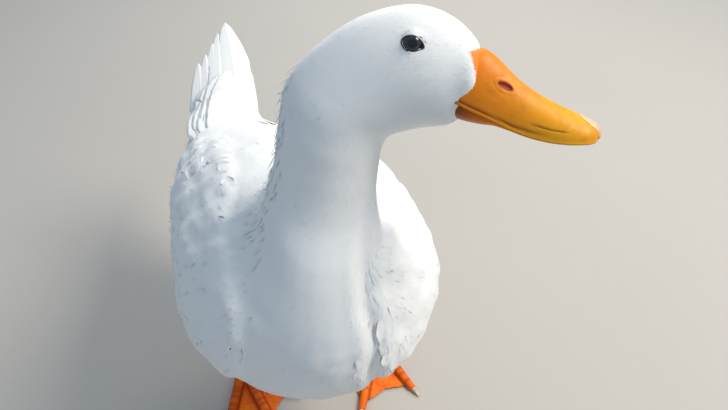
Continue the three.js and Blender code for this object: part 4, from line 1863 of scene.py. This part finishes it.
class NodeTree:
    """Short ways to place and join shader nodes in one tree."""

    def __init__(self, tree: bpy.types.NodeTree) -> None:
        """Keeps the tree to build in."""
        self.tree = tree

    def add(self, kind: str, **settings: object) -> bpy.types.Node:
        """Adds a node and sets its own properties."""
        node = self.tree.nodes.new(kind)
        for key, value in settings.items():
            setattr(node, key, value)
        return node

    def give(self, value: Socket | Colour | float, target: Socket) -> None:
        """Feeds a socket from another one, or sets its number or colour."""
        if isinstance(value, (int, float)):
            target.default_value = value
        elif isinstance(value, tuple):
            target.default_value = (*value, 1.0)
        else:
            self.tree.links.new(value, target)

    def read(self, name: str) -> Socket:
        """A value stored on the mesh."""
        return self.add("ShaderNodeAttribute", attribute_name=name).outputs["Fac"]

    def place(self) -> Socket:
        """The object's own coordinates."""
        return self.add("ShaderNodeTexCoord").outputs["Object"]

    def noise(self, place: Socket, scale: Socket | float) -> Socket:
        """Soft noise from 0 to 1."""
        node = self.add("ShaderNodeTexNoise")
        node.inputs["Detail"].default_value = 3.0
        self.give(place, node.inputs["Vector"])
        self.give(scale, node.inputs["Scale"])
        return node.outputs["Fac"]

    def math(self, operation: str, first: Socket | float, second: Socket | float = 0.0) -> Socket:
        """One sum, product or the like of two sockets or numbers."""
        node = self.add("ShaderNodeMath", operation=operation)
        for socket, value in zip(node.inputs, (first, second)):
            self.give(value, socket)
        return node.outputs["Value"]

    def scaled(self, value: Socket, factor: Socket | float) -> Socket:
        """A value times a factor."""
        return self.math("MULTIPLY", value, factor)

    def between(self, value: Socket, low: float, high: float) -> Socket:
        """A value's share of the way from low to high, held from 0 to 1."""
        node = self.add("ShaderNodeMapRange", clamp=True, interpolation_type="SMOOTHSTEP")
        node.inputs["From Min"].default_value = low
        node.inputs["From Max"].default_value = high
        self.give(value, node.inputs["Value"])
        return node.outputs["Result"]

    def mix(self, share: Socket, first: Socket | Colour, second: Socket | Colour) -> Socket:
        """A blend of two colours."""
        node = self.add("ShaderNodeMix", data_type="RGBA")
        for number, value in ((0, share), (6, first), (7, second)):
            self.give(value, node.inputs[number])
        return node.outputs[2]

    def bump(self, height: Socket, distance: float, strength: float) -> Socket:
        """A normal bent by a height; distance is the height's size in metres."""
        node = self.add("ShaderNodeBump")
        node.inputs["Strength"].default_value = strength
        node.inputs["Distance"].default_value = distance
        self.give(height, node.inputs["Height"])
        return node.outputs["Normal"]


def new_group(
    name: str, result: str, *numbers: str
) -> tuple[bpy.types.NodeTree, NodeTree, dict[str, Socket]]:
    """A group that takes a place and some numbers, and gives one number.

    Args:
        name: the group's name.
        result: the name of its output.
        numbers: the names of its number inputs.

    Returns:
        The group, the tree to build in, and the group's inputs by name.
    """
    group = bpy.data.node_groups.new(name, "ShaderNodeTree")
    group.interface.new_socket("Place", in_out="INPUT", socket_type="NodeSocketVector")
    for number in numbers:
        group.interface.new_socket(number, in_out="INPUT", socket_type="NodeSocketFloat")
    group.interface.new_socket(result, in_out="OUTPUT", socket_type="NodeSocketFloat")
    nodes = NodeTree(group)
    outputs = nodes.add("NodeGroupInput").outputs
    return group, nodes, {key: outputs[key] for key in ("Place", *numbers)}


def mottle_group() -> bpy.types.NodeTree:
    """A shared effect: large and small soft noise as one mask, for patchy tone."""
    group, nodes, inputs = new_group("Mottle", "Mask", "Large", "Small")
    large, small = (nodes.noise(inputs["Place"], inputs[size]) for size in ("Large", "Small"))
    total = nodes.math("ADD", nodes.scaled(large, 0.65), nodes.scaled(small, 0.35))
    nodes.give(total, nodes.add("NodeGroupOutput").inputs["Mask"])
    return group


def grain_group() -> bpy.types.NodeTree:
    """A shared effect: fine pits and scales as one height."""
    group, nodes, inputs = new_group("Grain", "Height", "Cells", "Depth")
    cells = nodes.add("ShaderNodeTexVoronoi")
    nodes.give(inputs["Place"], cells.inputs["Vector"])
    nodes.give(inputs["Cells"], cells.inputs["Scale"])
    fine = nodes.noise(inputs["Place"], 2200.0)
    pits = nodes.scaled(cells.outputs["Distance"], inputs["Depth"])
    total = nodes.math("ADD", pits, nodes.scaled(fine, 0.3))
    nodes.give(total, nodes.add("NodeGroupOutput").inputs["Height"])
    return group


class Effects:
    """The shared node groups, each made once."""

    made: dict[str, bpy.types.NodeTree] = {}

    @classmethod
    def use(cls, nodes: NodeTree, name: str, **values: float) -> Socket:
        """Places a shared group in a tree with its own values and gives its output."""
        if name not in cls.made:
            cls.made[name] = {"Mottle": mottle_group, "Grain": grain_group}[name]()
        node = nodes.add("ShaderNodeGroup", node_tree=cls.made[name])
        nodes.give(nodes.place(), node.inputs["Place"])
        for key, value in values.items():
            node.inputs[key].default_value = value
        return node.outputs[0]


def new_material(name: str, **constants: object) -> tuple[Material, NodeTree, bpy.types.Node]:
    """A material with its shader; constants are set on the shader's own sockets."""
    material = bpy.data.materials.new(name)
    material.use_nodes = True
    shader = material.node_tree.nodes["Principled BSDF"]
    for key, value in constants.items():
        shader.inputs[key.replace("_", " ")].default_value = value
    return material, NodeTree(material.node_tree), shader


@dataclass(frozen=True)
class PlumageFinish:
    """White feathers with painted shade towards the root, a little creamy low on the body, with fine barbs.
    """

    white: Colour = (0.92, 0.915, 0.90)
    cream: Colour = (0.84, 0.79, 0.64)
    # Painted shade: the greyer colour laid on each feather towards its root.
    root: Colour = (0.84, 0.84, 0.835)
    roughness: float = 0.72
    barbs: bool = False
    bare: bool = False

    def build(self, name: str) -> Material:
        """Makes the material.

        Args:
            name: the material's name.

        Returns:
            The material.
        """
        material, nodes, shader = new_material(name, Roughness=self.roughness, Sheen_Weight=0.3)
        mottle = Effects.use(nodes, "Mottle", Large=16.0, Small=75.0)
        height = nodes.add("ShaderNodeSeparateXYZ")
        nodes.give(nodes.place(), height.inputs[0])
        low = nodes.between(height.outputs["Z"], 0.185, 0.095)
        patch = nodes.between(mottle, 0.46, 0.6)
        creamy = nodes.scaled(low, nodes.math("ADD", nodes.scaled(patch, 0.6), 0.15))
        colour = nodes.mix(creamy, self.white, self.cream)
        # Painted shade: each feather's lower part, towards the root, is greyed for the shade where the
        # feathers overlap.
        deep = nodes.between(nodes.read("Along"), 0.45, 0.0)
        colour = nodes.mix(nodes.scaled(deep, 0.6), colour, self.root)
        if self.bare:
            colour = nodes.mix(nodes.read("Bare"), colour, BillFinish().base)
        nodes.give(colour, shader.inputs["Base Color"])
        if self.barbs:
            nodes.give(self.barb_normal(nodes), shader.inputs["Normal"])
        return material

    def barb_normal(self, nodes: NodeTree) -> Socket:
        """Fine ridges that run from the shaft out to the vane's edge."""
        vane = nodes.add("ShaderNodeUVMap", uv_map="Vane")
        parts = nodes.add("ShaderNodeSeparateXYZ")
        nodes.give(vane.outputs["UV"], parts.inputs[0])
        away = nodes.math("ABSOLUTE", nodes.math("SUBTRACT", parts.outputs["X"], 0.5))
        slant = nodes.math("SUBTRACT", parts.outputs["Y"], nodes.scaled(away, 0.22))
        ridges = nodes.math("SINE", nodes.scaled(slant, 620.0))
        return nodes.bump(ridges, 0.00002, 0.3)


@dataclass(frozen=True)
class BillFinish:
    """Smooth horn, orange at the base and yellower to the tip, with painted shade in its folds and nostril
    openings, and dark brown skin at the gape.
    """

    base: Colour = (0.84, 0.23, 0.004)
    tip: Colour = (0.92, 0.41, 0.008)
    # Painted shade in the bill's folds; also the dark brown skin at the gape.
    fold: Colour = (0.12, 0.025, 0.003)
    # Painted shade inside the nostril openings, in dark red.
    nostril: Colour = (0.26, 0.012, 0.001)
    shade: Colour = (0.50, 0.11, 0.002)
    lower: bool = False

    def build(self, name: str) -> Material:
        """Makes the material.

        Args:
            name: the material's name.

        Returns:
            The material.
        """
        material, nodes, shader = new_material(name, Specular_IOR_Level=0.28)
        origin, forward = HEAD.origin(), HEAD.axes()[0]
        measure = nodes.add("ShaderNodeVectorMath", operation="DOT_PRODUCT")
        nodes.give(nodes.place(), measure.inputs[0])
        measure.inputs[1].default_value = tuple(forward)
        start = float(origin @ forward)
        share = nodes.between(measure.outputs["Value"], start + 0.030, start + 0.098)
        mottle = Effects.use(nodes, "Mottle", Large=70.0, Small=320.0)
        colour = nodes.mix(share, self.base, self.tip)
        colour = nodes.mix(nodes.scaled(nodes.between(mottle, 0.42, 0.7), 0.4), colour, self.shade)
        if self.lower:
            rear = nodes.between(measure.outputs["Value"], start + 0.062, start + 0.03)
            colour = nodes.mix(nodes.scaled(rear, 0.75), colour, self.shade)
            gape = nodes.between(measure.outputs["Value"], start + 0.040, start + 0.027)
            colour = nodes.mix(nodes.scaled(gape, 0.75), colour, self.fold)
        else:
            # Painted shade in the folds, with the gape's dark brown skin; then painted shade inside the
            # nostril openings.
            colour = nodes.mix(nodes.scaled(nodes.read("FoldShadeAndGape"), 0.8), colour, self.fold)
            colour = nodes.mix(nodes.read("Hole"), colour, self.nostril)
            colour = nodes.mix(nodes.scaled(nodes.read("Under"), 0.7), colour, self.shade)
        nodes.give(colour, shader.inputs["Base Color"])
        grain = Effects.use(nodes, "Grain", Cells=420.0, Depth=0.35)
        relief = nodes.math("ADD", grain, nodes.scaled(mottle, 2.0))
        nodes.give(nodes.bump(relief, 0.0002, 0.35), shader.inputs["Normal"])
        nodes.give(nodes.math("ADD", nodes.scaled(mottle, 0.3), 0.32), shader.inputs["Roughness"])
        return material


@dataclass(frozen=True)
class NailFinish:
    """The pale, pinkish horn at the bill's tip."""

    pale: Colour = (0.86, 0.56, 0.34)
    warm: Colour = (0.80, 0.36, 0.10)

    def build(self, name: str) -> Material:
        """Makes the material."""
        material, nodes, shader = new_material(name, Roughness=0.32, Coat_Weight=0.2)
        mottle = Effects.use(nodes, "Mottle", Large=150.0, Small=600.0)
        colour = nodes.mix(nodes.between(mottle, 0.42, 0.62), self.pale, self.warm)
        nodes.give(colour, shader.inputs["Base Color"])
        nodes.give(nodes.bump(mottle, 0.0006, 0.4), shader.inputs["Normal"])
        return material


@dataclass(frozen=True)
class FootFinish:
    """Bright orange scaly skin with redder creases that also carry painted shade."""

    skin: Colour = (0.84, 0.125, 0.001)
    light: Colour = (0.88, 0.20, 0.003)
    # Redder skin with painted shade: the creases beside the toes, at the knuckles and between the shank's
    # scutes.
    crease_red_and_shade: Colour = (0.30, 0.015, 0.001)

    def build(self, name: str) -> Material:
        """Makes the material.

        Args:
            name: the material's name.

        Returns:
            The material.
        """
        material, nodes, shader = new_material(name, Specular_IOR_Level=0.25)
        mottle = Effects.use(nodes, "Mottle", Large=60.0, Small=330.0)
        colour = nodes.mix(nodes.between(mottle, 0.4, 0.66), self.skin, self.light)
        # Redder skin with painted shade in the creases.
        colour = nodes.mix(nodes.scaled(nodes.read("CreaseRedAndShade"), 0.75), colour, self.crease_red_and_shade)
        nodes.give(colour, shader.inputs["Base Color"])
        grain = Effects.use(nodes, "Grain", Cells=760.0, Depth=0.8)
        nodes.give(nodes.bump(grain, 0.0004, 0.6), shader.inputs["Normal"])
        nodes.give(nodes.math("ADD", nodes.scaled(mottle, 0.35), 0.42), shader.inputs["Roughness"])
        return material


@dataclass(frozen=True)
class ClawFinish:
    """Pale horn with darker patches at random."""

    pale: Colour = (0.74, 0.58, 0.38)
    dark: Colour = (0.40, 0.26, 0.14)

    def build(self, name: str) -> Material:
        """Makes the material."""
        material, nodes, shader = new_material(name, Roughness=0.35)
        mottle = Effects.use(nodes, "Mottle", Large=240.0, Small=900.0)
        colour = nodes.mix(nodes.between(mottle, 0.4, 0.7), self.pale, self.dark)
        nodes.give(colour, shader.inputs["Base Color"])
        nodes.give(nodes.bump(mottle, 0.0003, 0.5), shader.inputs["Normal"])
        return material


@dataclass(frozen=True)
class EyeFinish:
    """A dark blue-grey iris round a black pupil, under a wet cornea."""

    pupil: float = 2.2
    iris: float = 4.0
    black: Colour = (0.002, 0.002, 0.003)
    dark: Colour = (0.008, 0.013, 0.026)
    light: Colour = (0.028, 0.04, 0.066)
    rim: Colour = (0.012, 0.012, 0.015)

    def build(self, name: str) -> Material:
        """Makes the material.

        Args:
            name: the material's name.

        Returns:
            The material.
        """
        wet = {"Coat_Weight": 0.8, "Coat_Roughness": 0.03}
        material, nodes, shader = new_material(name, Specular_IOR_Level=0.25, **wet)
        ring = nodes.read("Ring")
        streaks = nodes.noise(nodes.place(), 900.0)
        tone = nodes.mix(nodes.between(streaks, 0.35, 0.7), self.dark, self.light)
        outside = nodes.between(ring, self.pupil - 0.2, self.pupil + 0.2)
        colour = nodes.mix(outside, self.black, tone)
        beyond = nodes.between(ring, self.iris - 0.5, self.iris + 0.3)
        colour = nodes.mix(beyond, colour, self.rim)
        nodes.give(colour, shader.inputs["Base Color"])
        nodes.give(nodes.math("ADD", nodes.scaled(streaks, 0.08), 0.05), shader.inputs["Roughness"])
        return material


@dataclass(frozen=True)
class LidFinish:
    """The lids' bare rim, dark brown, turning to white skin away from the eye."""

    rim: Colour = (0.045, 0.032, 0.028)
    corner: Colour = (0.16, 0.075, 0.035)
    white: Colour = (0.80, 0.79, 0.76)

    def build(self, name: str) -> Material:
        """Makes the material."""
        material, nodes, shader = new_material(name, Roughness=0.55)
        mottle = Effects.use(nodes, "Mottle", Large=260.0, Small=900.0)
        rim = nodes.mix(nodes.between(mottle, 0.4, 0.65), self.rim, self.corner)
        colour = nodes.mix(nodes.between(nodes.read("Bare"), 0.3, 0.85), self.white, rim)
        nodes.give(colour, shader.inputs["Base Color"])
        nodes.give(nodes.bump(mottle, 0.0003, 0.4), shader.inputs["Normal"])
        return material


# --- studio


@dataclass
class Studio:
    """The pale floor, the soft lights and the camera."""

    eye: tuple[float, float, float] = (371.36, -49.16, 556.84)
    azimuth: float = -16.0
    elevation: float = 41.4
    lens: float = 30.845
    floor_size: float = 12.0
    floor: Colour = (0.50, 0.47, 0.43)
    sky: Colour = (0.64, 0.81, 1.0)
    sky_strength: float = 0.52

    def build_floor(self) -> None:
        """A wide pale floor whose edges lie out of view."""
        deselect_all()
        bpy.ops.mesh.primitive_plane_add(size=self.floor_size)
        floor = bpy.context.active_object
        floor.name = "floor"
        material, nodes, shader = new_material("floor", Roughness=0.85)
        mottle = Effects.use(nodes, "Mottle", Large=4.0, Small=60.0)
        darker = tuple(0.93 * value for value in self.floor)
        nodes.give(nodes.mix(mottle, self.floor, darker), shader.inputs["Base Color"])
        floor.data.materials.append(material)
        floor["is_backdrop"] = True

    def build_light(self, name: str, place: Vector, size: float, power: float, colour: Colour) -> None:
        """One soft square light that looks at the duck's breast.

        Args:
            name: the light's name.
            place: where it stands.
            size: the square's side in metres.
            power: its power in watts.
            colour: its colour.
        """
        light = bpy.data.lights.new(name, "AREA")
        light.size = size
        light.energy = power
        light.color = colour
        holder = bpy.data.objects.new(name, light)
        bpy.context.scene.collection.objects.link(holder)
        holder.location = place
        aim = Vector((0, -0.02, 0.22)) - place
        holder.rotation_euler = aim.to_track_quat("-Z", "Y").to_euler()

    def build_camera(self) -> None:
        """The camera, level and above the duck's right breast, looking down at it."""
        data = bpy.data.cameras.new("camera")
        data.lens = self.lens
        data.sensor_width = 36.0
        data.clip_start = 0.01
        camera = bpy.data.objects.new("camera", data)
        bpy.context.scene.collection.objects.link(camera)
        camera.location = body_place(np.array(self.eye))
        camera.rotation_euler = (math.radians(90 - self.elevation), 0, math.radians(self.azimuth))
        bpy.context.scene.camera = camera

    def build(self) -> None:
        """Everything round the duck, shown in plain colour so that the bill keeps its orange."""
        bpy.context.scene.view_settings.view_transform = "Standard"
        self.build_floor()
        self.build_light("key", Vector((1.05, -0.35, 1.5)), 0.7, 27.0, (1.0, 0.93, 0.82))
        self.build_light("rim", Vector((0.6, 1.3, 1.2)), 0.6, 13.0, (1.0, 0.95, 0.88))
        world = bpy.data.worlds.new("studio")
        bpy.context.scene.world = world
        world.use_nodes = True
        sky = world.node_tree.nodes["Background"]
        sky.inputs["Color"].default_value = (*self.sky, 1.0)
        sky.inputs["Strength"].default_value = self.sky_strength
        self.build_camera()


# --- the duck


@dataclass
class Duck:
    """Builds and dresses every piece in order."""

    eyes: Eyes = field(default_factory=Eyes)
    bill: Bill = field(default_factory=Bill)
    kinds: dict[Region, tuple[FeatherKind, ...]] = field(
        default_factory=lambda: {
            Region.HEAD: (FeatherKind(7.8, 2.1, 0.74, 0.07, 0.86, 0.04, 4, rows=3),),
            Region.NECK: (
                FeatherKind(12.0, 2.4, 1.08, 0.1, 0.85, 0.05, 5),
                FeatherKind.stray(11.0, 0.9, 5.0, 4.2, 0.35, 14),
            ),
            Region.BREAST: (
                FeatherKind.vane(20.0, 10.0, 7.0, 0.5, 0.2),
                FeatherKind(17.0, 2.9, 1.52, 0.11, 0.92, 0.06, 6),
            ),
            Region.BACK: (
                FeatherKind.vane(24.0, 12.0, 8.0, 0.5, 0.12),
                FeatherKind(20.0, 3.3, 1.8, 0.11, 0.93, 0.06, 6),
            ),
            Region.FLANK: (
                FeatherKind.vane(22.0, 11.0, 8.0, 0.45, 0.16),
                FeatherKind(20.0, 3.2, 1.75, 0.11, 0.93, 0.06, 6),
                FeatherKind.stray(16.0, 0.9, 12.0, 3.6, 0.3, 18),
            ),
            Region.WING: (
                FeatherKind.vane(24.0, 12.0, 8.0, 0.5, 0.08),
                FeatherKind(21.0, 3.4, 1.9, 0.11, 0.93, 0.06, 6),
                FeatherKind.stray(16.0, 0.9, 13.0, 3.9, 0.3, 16),
            ),
            Region.THIGH: (
                FeatherKind.vane(14.0, 6.0, 5.0, 0.4, 0.2),
                FeatherKind(13.0, 2.4, 1.6, 0.11, 0.96, 0.1, 8),
                FeatherKind.stray(14.0, 1.0, 6.0, 2.8, 0.35, 18),
            ),
        }
    )

    def build_skin(self) -> tuple[Piece, Surface]:
        """The skin, in place of all flesh nodes."""
        skin = Skin()
        piece, surface = skin.build()
        finish_piece(piece, PlumageFinish(bare=True).build("skin"), skin.flesh)
        return piece, surface

    def build_head(self, skin: Piece) -> None:
        """Bill, eyes and lids.

        Args:
            skin: the skin object, on which the lids rest.
        """
        finish_piece(self.bill.build_upper(), BillFinish().build("bill"), ("bill_upper",))
        lower_horn = BillFinish(lower=True).build("lower_bill")
        finish_piece(self.bill.build_lower(), lower_horn, ("bill_lower",))
        finish_piece(self.bill.build_nail(), NailFinish().build("nail"), ("bill_nail",))
        tree = BVHTree.FromObject(skin, bpy.context.evaluated_depsgraph_get())
        eye = EyeFinish().build("eye")
        lid = LidFinish().build("lid")
        for name, sign in (("left", 1), ("right", -1)):
            finish_piece(self.eyes.build_ball(f"eyeball_{name}", sign), eye, (f"eye_{name}",))
            finish_piece(self.eyes.build_lids(f"lids_{name}", sign, tree), lid)

    def build_legs(self) -> None:
        """Shanks, feet and claws."""
        skin = FootFinish().build("foot")
        horn = ClawFinish().build("claw")
        for leg in (
            Leg("left", (-13.0, 73.0), (-56.0, -26.0, 19.0)),
            Leg("right", (-18.0, -66.0), (48.0, 15.0, -22.0)),
        ):
            finish_piece(leg.build_foot(), skin, (f"foot_{leg.name}",))
            finish_piece(leg.build_shank(), skin, (f"shank_{leg.name}",))
            for number in range(1, 5):
                finish_piece(leg.build_claw(number), horn, (f"claw_{leg.name}_{number}",))

    def areas(self, region: Region, surface: Surface) -> dict[str, Array]:
        """The named areas into which a region is parted, so that no coat piece grows too large.

        Args:
            region: the region to part.
            surface: the skin's points and what they hold.

        Returns:
            For each area's name, which skin points belong to it.
        """
        body = body_measure(surface.points)
        front = body[:, 0] > 0
        middle = np.median(body[surface.shares[region] > 0.5, 1])
        left = body[:, 1] > (-8 if region is Region.WING else middle)
        if region is Region.WING:
            return {
                "_left_front": left & front,
                "_left_rear": left & ~front,
                "_right_front": ~left & front,
                "_right_rear": ~left & ~front,
            }
        if region is Region.BACK:
            return {"": np.ones(len(left), bool)}
        return {"_left": left, "_right": ~left}

    def build_coat(self, surface: Surface) -> None:
        """All small feathers, region by region.

        Args:
            surface: the skin's points and what they hold.
        """
        finish = PlumageFinish().build("feathers")
        keep_out = KeepOut(self.eyes, self.bill)
        total = sum(surface.shares.values())
        behind = smoothstep(surface.normals @ body_direction(np.array([-1.0, -0.4, 0.1])), -0.1, 0.5)
        seed = 0
        for region, kinds in self.kinds.items():
            for layer, kind in enumerate(kinds):
                share = surface.shares[region] / total * (behind if kind.wisp else 1)
                for area, mask in self.areas(region, surface).items():
                    seed += 1
                    near_face = region in (Region.HEAD, Region.NECK)
                    name = f"coat_{region.value}{area}_{layer}"
                    piece = Coat(surface, seed).lay(name, share * mask, kind, keep_out if near_face else None)
                    finish_piece(piece, finish)

    def build_long_feathers(self, surface: Surface) -> None:
        """Tail and wing feathers.

        Args:
            surface: the skin's points and what they hold.
        """
        finish = PlumageFinish(barbs=True, roughness=0.6).build("long_feathers")
        finish_piece(Tail().build(), finish, ("tail",))
        for name, sign, tip, root, blades in (
            ("left", 1, (-152.0, -6.0, 217.0), (-74.0, 58.0, 232.0), 4),
            ("right", -1, (-141.0, -55.0, 212.0), (-73.0, 53.0, 227.0), 2),
        ):
            wing = WingFeathers(name, sign, surface, tip, root, blades=blades)
            finish_piece(wing.build(), finish, (f"wing_end_{name}",))

    def build(self) -> None:
        """The whole duck."""
        skin, surface = self.build_skin()
        self.build_head(skin)
        self.build_legs()
        self.build_coat(surface)
        self.build_long_feathers(surface)


def main() -> None:
    """Builds the duck and the studio round it."""
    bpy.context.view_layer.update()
    Duck().build()
    Studio().build()
    total = sum(len(piece.data.polygons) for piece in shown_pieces() if piece.type == "MESH")
    LOG.info("all pieces: %d faces", total)


if __name__ == "__main__":
    main()
